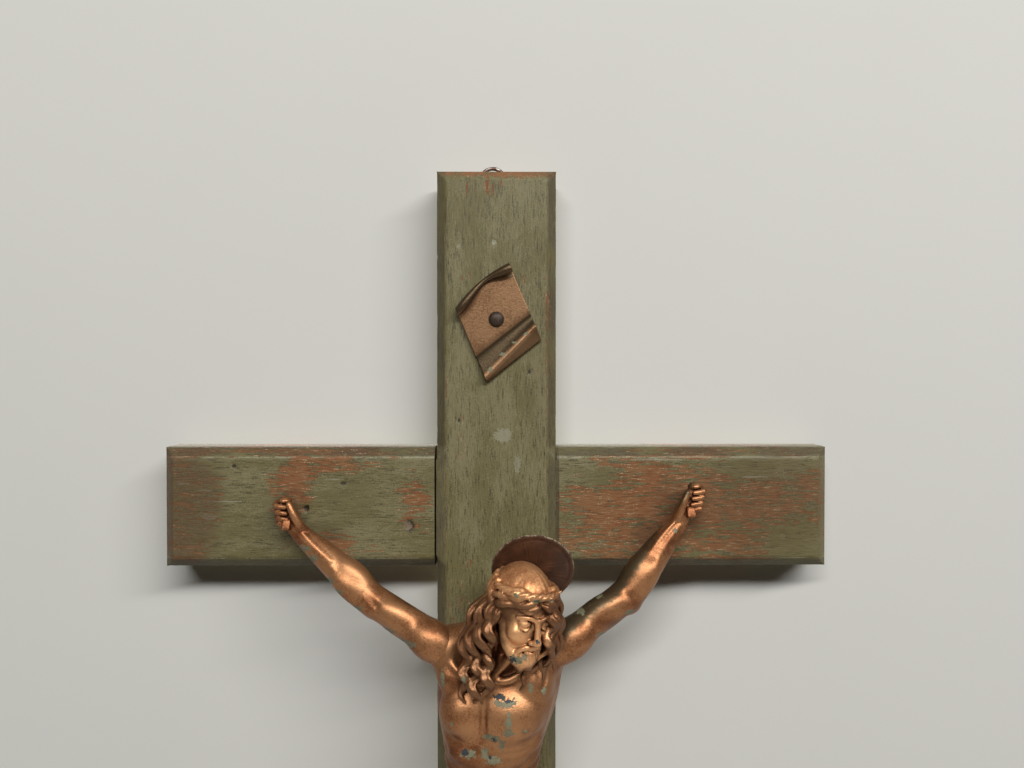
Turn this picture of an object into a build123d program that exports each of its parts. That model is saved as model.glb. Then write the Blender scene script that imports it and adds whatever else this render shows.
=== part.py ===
from build123d import *
import math
import os

# A painted wooden wall crucifix with a cast metal figure, in millimetres.
# The origin is the middle of the crossing on the back face of the boards.
# +X is to the right as seen from the front, +Z is up and the front faces -Y.
# Left and right are as seen from the front.

# Cross: two boards of one thickness, halved into each other
board_thickness = 19
upright_width = 55
upright_above = 154
upright_below = 435
crossbar_length = 304
crossbar_height = 55
chamfer_size = 4.4
chamfer_stop = 6
lap_gap = 0.8

# Screws of the lap joint, driven from the back
lap_screw_radius = 1.9
lap_screw_head_radius = 3.8
lap_screw_length = 15
lap_screw_spread = 14
screw_slot_width = 1.0
screw_slot_depth = 0.9
screw_recess = 0.2

# Torso: the collar is the pit of the neck
collar_drop = 66
torso_length = 92
torso_width = 51
torso_depth = 31
torso_out = 20
shoulder_cut_left = 21
shoulder_cut_right = 23
shoulder_slope = 32
seat_draft = 20
seat_clearance = 0.9

# Head, its place off the crossing and its turn
head_across = 11
head_drop = 36
head_out = 37
head_width = 23
head_depth = 28
head_height = 38
head_bow = 10
head_lean = 12
head_turn = 28
neck_width = 15
hair_thickness = 2.4
lock_width = 10
beard_length = 9
thorn_crown_thickness = 3.2
thorn_crown_tilt = 8

# Arms, from the shoulders to the middle of the fists
arm_thickness = 15.5
shoulder_drop = 57
shoulder_out = 20
left_arm_reach = 73
left_arm_rise = 55
right_arm_reach = 64
right_arm_rise = 60
hand_length = 14
hand_width = 12
hand_thickness = 7.5
finger_radius = 1.6
finger_curl_radius = 2.6
shoulder_tall_share = 1.16
shoulder_deep_share = 1.24
palm_share = 0.22
palm_heel_share = 0.32
palm_seat_share = 0.40
knuckle_shares = ((-0.36, 0.60), (-0.12, 0.68), (0.12, 0.70), (0.34, 0.66))

# Loincloth and legs
loincloth_length = 46
loincloth_width = 45
loincloth_depth = 31
drape_length = 44
drape_width = 13
drape_depth = 9
leg_length = 112
leg_spread = 9.5
thigh_width = 21
foot_length = 29
foot_width = 12
foot_depth = 8.5
knee_out = 27

# Halo and the pin that holds it
halo_radius = 17.6
halo_thickness = 0.9
halo_across = 15.8
halo_drop = 21.9
halo_out = 26
halo_tilt = 24
halo_pin_radius = 1.1
halo_pin_length = 7
halo_pin_head_radius = 2.2
halo_pin_head_height = 0.9

# Nails: blunt square heads on the hands and feet, a round one on the scroll
spike_head_width = 5.6
spike_head_height = 4.2
spike_radius = 1.3
spike_in_wood = 9
shoulder_pin_radius = 1.6
shoulder_pin_length = 9
title_nail_radius = 1.1
title_nail_head_radius = 3.5
title_nail_head_height = 2.1
title_nail_length = 12

# Title scroll: a sheet with a curled top and a folded foot
title_drop = 68.2
title_width = 31.5
title_rise = 16.5
title_fall = 20.4
title_sheet = 1.2
title_stand = 1.0
title_curl_radius = 2.2
title_curl_turn = 230
title_foot_height = 3.6
title_turn = 38
title_skew = 15

# Hanger: a round wire ring in a folded strap on the back
ring_radius = 6
ring_wire_radius = 0.9
ring_across = -2
ring_pivot_below_top = 6.2
strap_sheet = 0.8
strap_width = 6
strap_length = 27
hanger_screw_radius = 1.2
hanger_screw_head_radius = 2.4
hanger_screw_head_height = 1.1
hanger_screw_length = 11
hanger_screw_pitch = 12

# Fits: a running hole, a driven hole, and what a cut runs past its piece
running_clearance = 0.08
driven_clearance = 0.04
overrun = 2

os.makedirs("parts", exist_ok=True)

front = -board_thickness


def out(distance):
    """Y of a place that far in front of the boards."""
    return front - distance


def oval(place, along, wide_way, wide, deep):
    """One oval section of a limb, square to the way that the limb runs."""
    return Plane(origin=place, x_dir=wide_way, z_dir=along) * Ellipse(wide / 2, deep / 2)


def egg(width, depth, height):
    """An egg form of three sizes about its middle."""
    return scale(Sphere(1), by=(width / 2, depth / 2, height / 2))


def limb(places, wides, deeps, wide_way):
    """A tapering limb through ovals at the given places."""
    ovals = []
    last = len(places) - 1
    for i, place in enumerate(places):
        along = Vector(*places[min(i + 1, last)]) - Vector(*places[max(i - 1, 0)])
        ovals.append(oval(place, along, wide_way, wides[i], deeps[i]))
    return loft(ovals)


def bolt(radius, length, place, towards):
    """A round bar that starts at a place and runs one way."""
    bar = Cylinder(radius, length, align=(Align.CENTER, Align.CENTER, Align.MIN))
    return Plane(origin=place, z_dir=towards) * bar


# Upright: chamfers on the front edges run just into the crossing and stop there
def edge_cutter(length):
    """A chamfer along +Z that dies away into its edge over the stop."""
    corner = Polyline((0, 0), (chamfer_size, 0), (0, chamfer_size), close=True)
    section = make_face(corner)
    run = extrude(section, length - chamfer_stop)
    stop = loft([Pos(0, 0, length - chamfer_stop) * section, Vertex(0, 0, length)], ruled=True)
    return run + stop


upright_length = upright_above + upright_below
upright_middle = (upright_above - upright_below) / 2
upright = Pos(0, front / 2, upright_middle) * Box(upright_width, board_thickness, upright_length)
plain_edge = crossbar_height / 2 - chamfer_stop
for side in (-1, 1):
    cutter = edge_cutter(upright_above + overrun - plain_edge)
    if side > 0:
        cutter = mirror(cutter, Plane.YZ)
    upper = Pos(side * upright_width / 2, front, upright_above + overrun) * mirror(cutter, Plane.XY)
    cutter = edge_cutter(upright_below + overrun - plain_edge)
    if side > 0:
        cutter = mirror(cutter, Plane.YZ)
    lower = Pos(side * upright_width / 2, front, -upright_below - overrun) * cutter
    upright -= upper + lower
end_corner = Polyline((front, 0), (front + chamfer_size, 0), (front, -chamfer_size), close=True)
end_cutter = extrude(Plane.YZ * make_face(end_corner), upright_width, both=True)
upright -= Pos(0, 0, upright_above) * end_cutter
upright -= Pos(0, 0, -upright_below) * mirror(end_cutter, Plane.XY)
lap_depth = board_thickness / 2
upright -= Pos(0, -lap_depth / 2, 0) * Box(upright_width + 2 * overrun, lap_depth, crossbar_height)

# Crossbar: chamfered all round its front, notched for the upright, open by the gap on the left
crossbar = Pos(0, front / 2, 0) * Box(crossbar_length, board_thickness, crossbar_height)
crossbar = chamfer(crossbar.faces().sort_by(Axis.Y)[0].edges(), chamfer_size)
notch_width = upright_width + lap_gap
notch = Box(notch_width, lap_depth, crossbar_height + 2 * overrun)
crossbar -= Pos(-lap_gap / 2, front + lap_depth / 2, 0) * notch

# Lap screws: countersunk, flush with the back, through the crossbar into the upright
lap_screws = []
for side in (-1, 1):
    place = (side * lap_screw_spread, -screw_recess, -side * lap_screw_spread)
    sink = lap_screw_head_radius - lap_screw_radius
    head = Plane(origin=place, z_dir=(0, -1, 0)) * Cone(
        lap_screw_head_radius, lap_screw_radius, sink, align=(Align.CENTER, Align.CENTER, Align.MIN)
    )
    screw = head + bolt(lap_screw_radius, lap_screw_length, place, (0, -1, 0))
    slot = Box(2 * lap_screw_head_radius, 2 * screw_slot_depth, screw_slot_width)
    lap_screws.append(screw - Pos(*place) * slot)
    hole_radius = lap_screw_radius + driven_clearance
    hole = bolt(hole_radius, lap_screw_length + driven_clearance, place, (0, -1, 0))
    mouth = Plane(origin=(place[0], 0, place[2]), z_dir=(0, -1, 0)) * Cone(
        lap_screw_head_radius + screw_recess + driven_clearance,
        hole_radius,
        sink + screw_recess,
        align=(Align.CENTER, Align.CENTER, Align.MIN),
    )
    crossbar -= hole + mouth
    upright -= hole

# Torso: ovals from the shoulders down to the hips
torso_shares = (
    (-0.18, 0.06, 0.95, 0.46, 0.40),
    (-0.10, 0.05, 0.96, 0.80, 0.62),
    (0.00, 0.06, 0.98, 0.96, 0.80),
    (0.11, 0.04, 1.05, 0.97, 0.94),
    (0.24, 0.00, 1.05, 0.89, 1.00),
    (0.38, -0.03, 0.98, 0.79, 0.94),
    (0.57, -0.04, 0.84, 0.72, 0.80),
    (0.75, -0.02, 0.75, 0.77, 0.84),
    (0.92, 0.00, 0.72, 0.79, 0.90),
    (1.02, 0.01, 0.75, 0.70, 0.84),
)
torso_ovals = []
for drop_share, across_share, out_share, wide_share, deep_share in torso_shares:
    place = (
        across_share * torso_width,
        out(out_share * torso_out),
        -collar_drop - drop_share * torso_length,
    )
    torso_ovals.append(
        oval(place, (0, 0, -1), (1, 0, 0), wide_share * torso_width, deep_share * torso_depth)
    )
torso = loft(torso_ovals)

# Head: skull, jaw, beard, nose, hair and the thorn crown, in the head's own turned frame
head_frame = Pos(head_across, out(head_out), -head_drop) * Rot(head_bow, head_lean, head_turn)
skull = Pos(0, head_depth * 0.06, head_height * 0.14) * egg(head_width, head_depth, head_height * 0.72)
jaw = Pos(0, -head_depth * 0.10, -head_height * 0.18) * egg(
    head_width * 0.80, head_depth * 0.72, head_height * 0.64
)
beard = Pos(0, -head_depth * 0.24, -head_height * 0.42) * egg(
    head_width * 0.52, head_depth * 0.36, beard_length * 1.5
)
nose = Pos(0, -head_depth * 0.43, -head_height * 0.06) * egg(
    head_width * 0.18, head_depth * 0.20, head_height * 0.24
)
hair = Pos(0, head_depth * 0.12, head_height * 0.10) * egg(
    head_width + 2 * hair_thickness, head_depth + hair_thickness, head_height * 0.80
)
face_room = Pos(0, -head_depth * 0.78, -head_height * 0.14) * egg(
    head_width * 1.25, head_depth, head_height * 0.86
)
thorn_crown = scale(
    Torus(1, thorn_crown_thickness / head_width), by=(head_width * 0.53, head_depth * 0.50, head_width / 2)
)
thorn_crown = Pos(0, head_depth * 0.05, head_height * 0.28) * Rot(-thorn_crown_tilt, 0, 0) * thorn_crown
head = head_frame * (skull + jaw + beard + nose + (hair - face_room) + thorn_crown)

# Neck and the two long locks that fall on the shoulders
neck_top = (head_frame * Pos(0, head_depth * 0.16, -head_height * 0.16)).position
neck_foot = Vector(-0.04 * torso_width, out(torso_out * 0.95), -collar_drop - 0.06 * torso_length)
neck = limb(
    (tuple(neck_foot), tuple((neck_foot + neck_top) / 2), tuple(neck_top)),
    (neck_width * 1.25, neck_width, neck_width * 1.1),
    (neck_width * 1.2, neck_width, neck_width * 1.1),
    (1, 0, 0),
)


def hair_lock(side, across_share, drop_share, out_share):
    """A lock from the temple down to the collarbone on one side."""
    start = (head_frame * Pos(side * head_width * 0.52, 0, head_height * 0.02)).position
    end_drop = collar_drop + drop_share * torso_length
    end = Vector(across_share * torso_width, out(out_share * torso_out), -end_drop)
    middle = (start + end) / 2 + Vector(side * lock_width * 0.25, -lock_width * 0.1, 0)
    wides = (lock_width * 0.8, lock_width, lock_width * 0.5)
    return limb((tuple(start), tuple(middle), tuple(end)), wides, wides, (0, 1, 0))


locks = hair_lock(-1, -0.25, 0.03, 1.65) + hair_lock(1, 0.40, -0.05, 1.65)

# Legs: bent at the knee, one foot laid over the other
hip_drop = collar_drop + torso_length


def leg(side, ankle_across_share, ankle_out_share):
    """Thigh, knee, calf and ankle of one leg, and its foot."""
    hip = (side * leg_spread, out(torso_out * 0.72), -hip_drop + thigh_width * 0.3)
    thigh = (side * leg_spread * 0.98, out(knee_out * 0.72), -hip_drop - leg_length * 0.18)
    knee = (side * leg_spread * 0.82, out(knee_out), -hip_drop - leg_length * 0.42)
    calf = (side * leg_spread * 0.70, out(knee_out * 0.72), -hip_drop - leg_length * 0.62)
    ankle_out = foot_depth * ankle_out_share
    ankle = (ankle_across_share * foot_width, out(ankle_out), -hip_drop - leg_length * 0.95)
    shin = limb(
        (hip, thigh, knee, calf, ankle),
        (thigh_width, thigh_width * 0.96, thigh_width * 0.72, thigh_width * 0.70, foot_width * 0.70),
        (thigh_width * 1.1, thigh_width, thigh_width * 0.76, thigh_width * 0.80, foot_depth),
        (1, 0, 0),
    )
    instep = (ankle[0] * 0.7, out(ankle_out + foot_depth * 0.15), ankle[2] - foot_length * 0.45)
    toes = (ankle[0] * 0.5, out(ankle_out + foot_depth * 0.30), ankle[2] - foot_length * 0.85)
    tips = (ankle[0] * 0.5, out(ankle_out + foot_depth * 0.32), ankle[2] - foot_length)
    heel_top = (ankle[0], ankle[1], ankle[2] + foot_length * 0.14)
    foot = limb(
        (heel_top, instep, toes, tips),
        (foot_width * 0.66, foot_width * 0.84, foot_width, foot_width * 0.72),
        (foot_depth, foot_depth * 0.92, foot_depth * 0.62, foot_depth * 0.40),
        (1, 0, 0),
    )
    return shin + foot


legs = leg(1, 0.16, 0.50) + leg(-1, -0.10, 1.20)

# Loincloth: wrapped round the hips, with its end hanging at the right hip
cloth_shares = (
    (0.00, -0.02, 0.80, 0.86, 0.84),
    (0.20, -0.01, 0.76, 0.94, 0.94),
    (0.50, 0.00, 0.76, 1.00, 1.00),
    (0.80, 0.00, 0.86, 0.98, 1.04),
    (1.00, 0.01, 0.96, 0.94, 1.02),
)
cloth_top = hip_drop - loincloth_length * 0.66
cloth_ovals = []
for drop_share, across_share, out_share, wide_share, deep_share in cloth_shares:
    place = (
        across_share * loincloth_width,
        out(out_share * torso_out),
        -cloth_top - drop_share * loincloth_length,
    )
    cloth_ovals.append(
        oval(place, (0, 0, -1), (1, 0, 0), wide_share * loincloth_width, deep_share * loincloth_depth)
    )
loincloth = loft(cloth_ovals)
knot = (loincloth_width * 0.44, out(torso_out * 0.95), -cloth_top - loincloth_length * 0.16)
drape_middle = (knot[0] + drape_width * 0.16, knot[1], knot[2] - drape_length * 0.5)
drape_end = (knot[0] + drape_width * 0.10, knot[1], knot[2] - drape_length)
drape = limb(
    (knot, drape_middle, drape_end),
    (drape_width * 0.62, drape_width, drape_width * 1.1),
    (drape_depth, drape_depth, drape_depth * 0.7),
    (1, 0, 0),
)
drape += Pos(*knot) * egg(drape_width * 0.95, drape_depth * 1.3, drape_width * 0.95)


# Shoulders: each swells out from the neck to the flat cut where the arm is butted on
def shoulder_plane(side):
    """The flat cut between the body and one arm; its normal points out along the arm."""
    cut = shoulder_cut_right if side > 0 else shoulder_cut_left
    slope = math.radians(shoulder_slope)
    normal = (side * math.cos(slope), 0, math.sin(slope))
    return Plane(origin=(side * cut, out(shoulder_out), -shoulder_drop), x_dir=(0, 1, 0), z_dir=normal)


def shoulder(side):
    """One shoulder, which runs a little past the cut."""
    cut = shoulder_plane(side)
    root = (neck_foot.X + side * neck_width * 0.2, out(shoulder_out), -collar_drop)
    end = cut.origin + cut.z_dir * overrun
    tall = shoulder_tall_share * arm_thickness
    deep = shoulder_deep_share * arm_thickness
    root_oval = oval(root, (side, 0, 0), (0, 1, 0), deep, tall)
    return loft([root_oval, oval(end, cut.z_dir, (0, 1, 0), deep, tall)])


figure_body = torso + neck + shoulder(-1) + shoulder(1) + locks + head + legs + loincloth + drape

# The castings are flat where they lie on the boards
board_room = Pos(0, front + upright_below / 2, 0) * Box(crossbar_length, upright_below, 2 * upright_below)
figure_body -= board_room

# Arms: cast apart, and carried on the shoulders by a pin each
left_arm_shares = (
    (0.00, 0.00, 1.00, 1.00, 1.00),
    (0.10, 0.07, 1.00, 0.91, 0.92),
    (0.24, 0.195, 0.92, 0.82, 0.82),
    (0.47, 0.37, 0.74, 0.83, 0.76),
    (0.57, 0.485, 0.66, 0.81, 0.74),
    (0.67, 0.59, 0.56, 0.76, 0.68),
    (0.80, 0.735, 0.46, 0.60, 0.52),
    (0.945, 0.905, 0.36, 0.47, 0.37),
)
right_arm_shares = (
    (0.00, 0.00, 1.00, 1.00, 1.00),
    (0.15, 0.065, 1.00, 0.90, 0.90),
    (0.335, 0.23, 0.92, 0.79, 0.81),
    (0.54, 0.36, 0.74, 0.86, 0.76),
    (0.62, 0.46, 0.66, 0.86, 0.74),
    (0.70, 0.57, 0.56, 0.81, 0.68),
    (0.81, 0.725, 0.46, 0.64, 0.52),
    (0.955, 0.91, 0.36, 0.46, 0.37),
)


def fist():
    """A right fist about its wrist: thumb to +X, palm to +Y, knuckles to +Z."""
    solid = Pos(0, 0, hand_length * 0.34) * egg(hand_width * 0.96, hand_thickness, hand_length * 0.92)
    curl_places = []
    for turn in (190, 115, 40, -35):
        bend = math.radians(turn)
        curl_places.append((0, finger_curl_radius * math.cos(bend), finger_curl_radius * math.sin(bend)))
    curl_wides = [2 * finger_radius * thick_share for thick_share in (1.00, 1.00, 0.94, 0.72)]
    finger = limb(curl_places, curl_wides, curl_wides, (1, 0, 0))
    for across_share, rise_share in knuckle_shares:
        solid += Pos(across_share * hand_width, hand_thickness * 0.12, rise_share * hand_length) * finger
    thumb = limb(
        (
            (hand_width * 0.34, hand_thickness * 0.06, -hand_length * 0.05),
            (hand_width * 0.48, hand_thickness * 0.22, hand_length * 0.30),
            (hand_width * 0.44, hand_thickness * 0.30, hand_length * 0.72),
        ),
        (finger_radius * 2.0, finger_radius * 2.5, finger_radius * 1.6),
        (finger_radius * 2.0, finger_radius * 2.5, finger_radius * 1.6),
        (0, 1, 0),
    )
    return solid + thumb


def arm(side, reach, rise, shares):
    """One arm from its cut at the shoulder to its fist, and the middle of its palm."""
    cut = shoulder_plane(side)
    start = cut.origin
    places = []
    ovals = []
    for across_share, rise_share, out_share, wide_share, deep_share in shares:
        across = start.X + side * across_share * reach
        places.append(Vector(across, out(out_share * shoulder_out), start.Z + rise_share * rise))
    last = len(places) - 1
    for i, place in enumerate(places):
        along = cut.z_dir if i == 0 else places[min(i + 1, last)] - places[i - 1]
        tall = shares[i][3] * shoulder_tall_share * arm_thickness
        deep = shares[i][4] * shoulder_deep_share * arm_thickness
        ovals.append(oval(place, along, (0, 1, 0), deep, tall))
    run = places[last] - places[last - 1]
    reach_way = Vector(run.X, 0, run.Z).normalized()
    wrist = Plane(origin=places[last], x_dir=Vector(0, -1, 0).cross(reach_way), z_dir=reach_way)
    hand = fist() if side > 0 else mirror(fist(), Plane.YZ)
    palm = places[last] + reach_way * (palm_share * hand_length)
    heel = places[last] + reach_way * (palm_heel_share * hand_length)
    ovals.append(oval(heel, reach_way, (0, 1, 0), hand_thickness * 0.6, hand_width * 0.5))
    return loft(ovals) + wrist * hand - board_room, palm


left_arm, left_palm = arm(-1, left_arm_reach, left_arm_rise, left_arm_shares)
right_arm, right_palm = arm(1, right_arm_reach, right_arm_rise, right_arm_shares)
for side in (-1, 1):
    tall = shoulder_tall_share * arm_thickness + 2 * seat_clearance
    deep = shoulder_deep_share * arm_thickness + 2 * seat_clearance
    seat = shoulder_plane(side) * Ellipse(deep / 2, tall / 2)
    figure_body -= extrude(seat, arm_thickness, taper=-seat_draft)

# Shoulder pins: half in the body and half in the arm
shoulder_pins = []
for side in (-1, 1):
    cut = shoulder_plane(side)
    start = cut.origin - cut.z_dir * (shoulder_pin_length / 2)
    shoulder_pins.append(bolt(shoulder_pin_radius, shoulder_pin_length, start, cut.z_dir))
    start -= cut.z_dir * driven_clearance
    length = shoulder_pin_length + 2 * driven_clearance
    hole = bolt(shoulder_pin_radius + driven_clearance, length, start, cut.z_dir)
    figure_body -= hole
    if side < 0:
        left_arm -= hole
    else:
        right_arm -= hole


# Hand and foot nails: a blunt square head, and a shank through the casting into the wood
def spike(place, seat_out):
    """A nail whose head sits that far in front of the boards."""
    head = loft(
        (
            Plane(origin=(place[0], out(seat_out), place[2]), z_dir=(0, -1, 0))
            * RectangleRounded(spike_head_width, spike_head_width * 0.8, spike_head_width * 0.15),
            Plane(origin=(place[0], out(seat_out + spike_head_height), place[2]), z_dir=(0, -1, 0))
            * RectangleRounded(spike_head_width * 0.8, spike_head_width * 0.64, spike_head_width * 0.12),
        )
    )
    length = seat_out + spike_in_wood
    return head + bolt(spike_radius, length, (place[0], out(seat_out), place[2]), (0, 1, 0))


def spike_room(place, seat_out):
    """The room that a nail needs in the casting and in the wood."""
    hole = bolt(
        spike_radius + driven_clearance,
        seat_out + spike_in_wood + driven_clearance,
        (place[0], out(seat_out), place[2]),
        (0, 1, 0),
    )
    wide = spike_head_width + 2 * running_clearance
    seat = Plane(origin=(place[0], out(seat_out), place[2]), z_dir=(0, -1, 0)) * Rectangle(wide, wide)
    return hole + extrude(seat, hand_thickness + foot_depth)


def palm_out(palm):
    """How far the nail's seat in a palm lies in front of the boards."""
    return front - palm.Y + palm_seat_share * hand_thickness


left_hand_nail = spike(tuple(left_palm), palm_out(left_palm))
left_room = spike_room(tuple(left_palm), palm_out(left_palm))
left_arm -= left_room
crossbar -= left_room
right_hand_nail = spike(tuple(right_palm), palm_out(right_palm))
right_room = spike_room(tuple(right_palm), palm_out(right_palm))
right_arm -= right_room
crossbar -= right_room
foot_place = (0, 0, -hip_drop - leg_length * 0.95 - foot_length * 0.42)
foot_seat_out = foot_depth * 1.66
foot_nail = spike(foot_place, foot_seat_out)
foot_room = spike_room(foot_place, foot_seat_out)
figure_body -= foot_room
upright -= foot_room

# Halo: a thin disc on a flat seat at the back of the head, held by one pin
tilt = math.radians(halo_tilt)
halo_back = Vector(0, math.cos(tilt), math.sin(tilt))
halo_place = Vector(halo_across, out(halo_out), -halo_drop)
halo = bolt(halo_radius, halo_thickness, halo_place, halo_back)
halo = chamfer(halo.edges(), halo_thickness * 0.3)
figure_body -= bolt(halo_radius + overrun, halo_radius, halo_place, halo_back)
pin_place = Vector(*(head_frame * Pos(0, 0, 0)).position)
pin_place += halo_back * ((halo_place - pin_place).dot(halo_back) + halo_thickness)
pin_reach = halo_pin_length + halo_thickness
pin_head = Plane(origin=pin_place, z_dir=halo_back) * Cone(
    halo_pin_head_radius,
    halo_pin_head_radius * 0.6,
    halo_pin_head_height,
    align=(Align.CENTER, Align.CENTER, Align.MIN),
)
halo_pin = pin_head + bolt(halo_pin_radius, pin_reach, pin_place, -halo_back)
pin_hole = bolt(halo_pin_radius + driven_clearance, pin_reach + driven_clearance, pin_place, -halo_back)
halo -= pin_hole
figure_body -= pin_hole

# Title scroll: one bent section drawn along its top edge, skewed, and turned on its nail
title_height = upright_above - title_drop
sheet_middle = title_stand + title_sheet / 2
flat_head = (title_rise - title_curl_radius, sheet_middle)
bends = FilletPolyline(
    (-title_fall, title_foot_height * 0.45),
    (-title_fall * 0.80, title_foot_height),
    (-title_fall * 0.54, running_clearance + title_sheet / 2),
    (-title_fall * 0.34, sheet_middle),
    flat_head,
    radius=title_sheet,
)
curl = JernArc(flat_head, (1, 0), title_curl_radius, title_curl_turn)
section = make_face(offset(bends + curl, title_sheet / 2, side=Side.BOTH))
section_plane = Plane(origin=(0, front, 0), x_dir=(0, 0, 1), z_dir=(1, 0, 0))
title_scroll = extrude(section_plane * section, title_width, both=True)
lean_share = math.tan(math.radians(title_skew))
trim_up = title_rise + title_sheet
trim_down = title_fall + title_sheet
trim = Polyline(
    (title_width / 2 + trim_up * lean_share, trim_up),
    (-title_width / 2 + trim_up * lean_share, trim_up),
    (-title_width / 2 - trim_down * lean_share, -trim_down),
    (title_width / 2 - trim_down * lean_share, -trim_down),
    close=True,
)
title_scroll &= extrude(Plane.XZ * make_face(trim), 2 * board_thickness)
nail_front = title_stand + title_sheet + running_clearance
nail_place = Vector(0, out(nail_front), title_height)
title_hole_radius = title_nail_radius + running_clearance
title_scroll -= bolt(title_hole_radius, board_thickness, (0, front, 0), (0, -1, 0))
title_scroll = Pos(0, 0, title_height) * Rot(0, -title_turn, 0) * title_scroll
dome_radius = (title_nail_head_radius**2 + title_nail_head_height**2) / (2 * title_nail_head_height)
dome = Pos(0, nail_place.Y + dome_radius - title_nail_head_height, nail_place.Z) * Sphere(dome_radius)
head_room = bolt(title_nail_head_radius, title_nail_head_height, nail_place, (0, -1, 0))
title_nail = (dome & head_room) + bolt(title_nail_radius, title_nail_length, nail_place, (0, 1, 0))
nail_hole_length = title_nail_length + driven_clearance
upright -= bolt(title_nail_radius + driven_clearance, nail_hole_length, nail_place, (0, 1, 0))

# Hanger: the strap is folded round the ring's foot and screwed to the back
ring_sag = ring_radius - math.sqrt(ring_radius**2 - strap_width**2 / 4)
eye_radius = ring_wire_radius + ring_sag + running_clearance
knuckle_radius = eye_radius + strap_sheet
pivot = Vector(ring_across, knuckle_radius, upright_above - ring_pivot_below_top)
ring_middle = Pos(pivot.X, pivot.Y, pivot.Z + ring_radius)
hanger_ring = ring_middle * Rot(90, 0, 0) * Torus(ring_radius, ring_wire_radius)
strap_plane = Plane(origin=pivot, x_dir=(0, 0, 1), z_dir=(1, 0, 0))
strap_section = Circle(knuckle_radius) + Pos(-strap_length / 2, knuckle_radius - strap_sheet) * Rectangle(
    strap_length, 2 * strap_sheet
)
strap_section -= Circle(eye_radius)
hanger_strap = extrude(strap_plane * strap_section, strap_width / 2, both=True)
hanger_screws = []
for row in (0, 1):
    drop = strap_length - (strap_length - hanger_screw_pitch) / 3 - row * hanger_screw_pitch
    place = Vector(pivot.X, 2 * strap_sheet, pivot.Z - drop)
    shank = bolt(hanger_screw_radius, hanger_screw_length, place, (0, -1, 0))
    dome = Plane(origin=place, z_dir=(0, 1, 0)) * Cone(
        hanger_screw_head_radius,
        hanger_screw_head_radius * 0.7,
        hanger_screw_head_height,
        align=(Align.CENTER, Align.CENTER, Align.MIN),
    )
    slot = Box(2 * hanger_screw_head_radius, screw_slot_depth, screw_slot_width * 0.7)
    slot_place = Pos(place.X, place.Y + hanger_screw_head_height, place.Z)
    hanger_screws.append(dome + shank - slot_place * slot)
    hole = bolt(
        hanger_screw_radius + driven_clearance, hanger_screw_length + driven_clearance, place, (0, -1, 0)
    )
    hanger_strap -= hole
    upright -= hole

pieces = {
    "upright": upright,
    "crossbar": crossbar,
    "lap_screws": Compound(lap_screws),
    "figure_body": figure_body,
    "left_arm": left_arm,
    "right_arm": right_arm,
    "shoulder_pins": Compound(shoulder_pins),
    "halo": halo,
    "halo_pin": halo_pin,
    "left_hand_nail": left_hand_nail,
    "right_hand_nail": right_hand_nail,
    "foot_nail": foot_nail,
    "title_scroll": title_scroll,
    "title_nail": title_nail,
    "hanger_strap": hanger_strap,
    "hanger_ring": hanger_ring,
    "hanger_screws": Compound(hanger_screws),
}
for name, piece in pieces.items():
    export_step(piece, "parts/" + name + ".step")
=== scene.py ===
from math import atan2, cos, exp, pi, radians, sin, tan

import bmesh
import bpy
import numpy as np
import openvdb
from mathutils import Matrix, Vector, noise


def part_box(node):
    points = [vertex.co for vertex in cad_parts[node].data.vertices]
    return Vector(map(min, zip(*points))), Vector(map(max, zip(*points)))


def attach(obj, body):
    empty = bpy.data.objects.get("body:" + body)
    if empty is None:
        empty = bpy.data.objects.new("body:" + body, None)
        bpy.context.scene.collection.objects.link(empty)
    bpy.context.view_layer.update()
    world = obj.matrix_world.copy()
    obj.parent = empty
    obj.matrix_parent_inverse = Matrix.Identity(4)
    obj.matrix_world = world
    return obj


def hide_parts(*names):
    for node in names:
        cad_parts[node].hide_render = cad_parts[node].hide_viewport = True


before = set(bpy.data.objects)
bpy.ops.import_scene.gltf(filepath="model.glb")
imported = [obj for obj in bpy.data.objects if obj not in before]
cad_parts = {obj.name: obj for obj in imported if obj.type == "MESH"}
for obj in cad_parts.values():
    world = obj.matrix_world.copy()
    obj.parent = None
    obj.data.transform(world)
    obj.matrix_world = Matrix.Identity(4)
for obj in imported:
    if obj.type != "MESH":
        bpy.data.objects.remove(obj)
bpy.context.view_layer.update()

# Upright: a planed softwood board, painted olive over a red-brown primer and rubbed along the grain.
# Its front edges are chamfered as far as the crossing, where half its back is cut away for the crossbar.
# Handling has rounded the arrises and nicked them.
mm = 0.001
board_front = -19
half_board = -9.5
board_half = 27.5
chamfer = 4.4
chamfer_stop = 6
back_ease = 0.5
upright_top = 154
upright_foot = -435
board_step = 1.2
face_points = 46
sharp_angle = 30
arris = board_half - chamfer

olive = (0.122, 0.104, 0.043)
olive_grey = (0.178, 0.157, 0.082)
olive_deep = (0.064, 0.053, 0.028)
primer_red = (0.178, 0.058, 0.019)
primer_tan = (0.205, 0.096, 0.037)
worn_pale = (0.40, 0.33, 0.21)
grime = (0.024, 0.017, 0.011)
chalk = (0.30, 0.29, 0.21)
umber = (0.082, 0.048, 0.022)
# A near-black tone for dirt in the seam, and for painted shade on the chamfers and round the fists.
dirt_and_shade = (0.036, 0.023, 0.012)
knot_grey = (0.19, 0.145, 0.095)


def mended(name, mesh, sharp):
    """Welds a mesh, turns its faces outwards, shades it and puts it in the scene."""
    form = bmesh.new()
    form.from_mesh(mesh)
    bmesh.ops.remove_doubles(form, verts=form.verts, dist=0.002 * mm)
    bmesh.ops.recalc_face_normals(form, faces=form.faces)
    form.to_mesh(mesh)
    form.free()
    mesh.shade_smooth()
    mesh.set_sharp_from_angle(angle=radians(sharp))
    piece = bpy.data.objects.new(name, mesh)
    bpy.context.scene.collection.objects.link(piece)
    return piece


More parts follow.
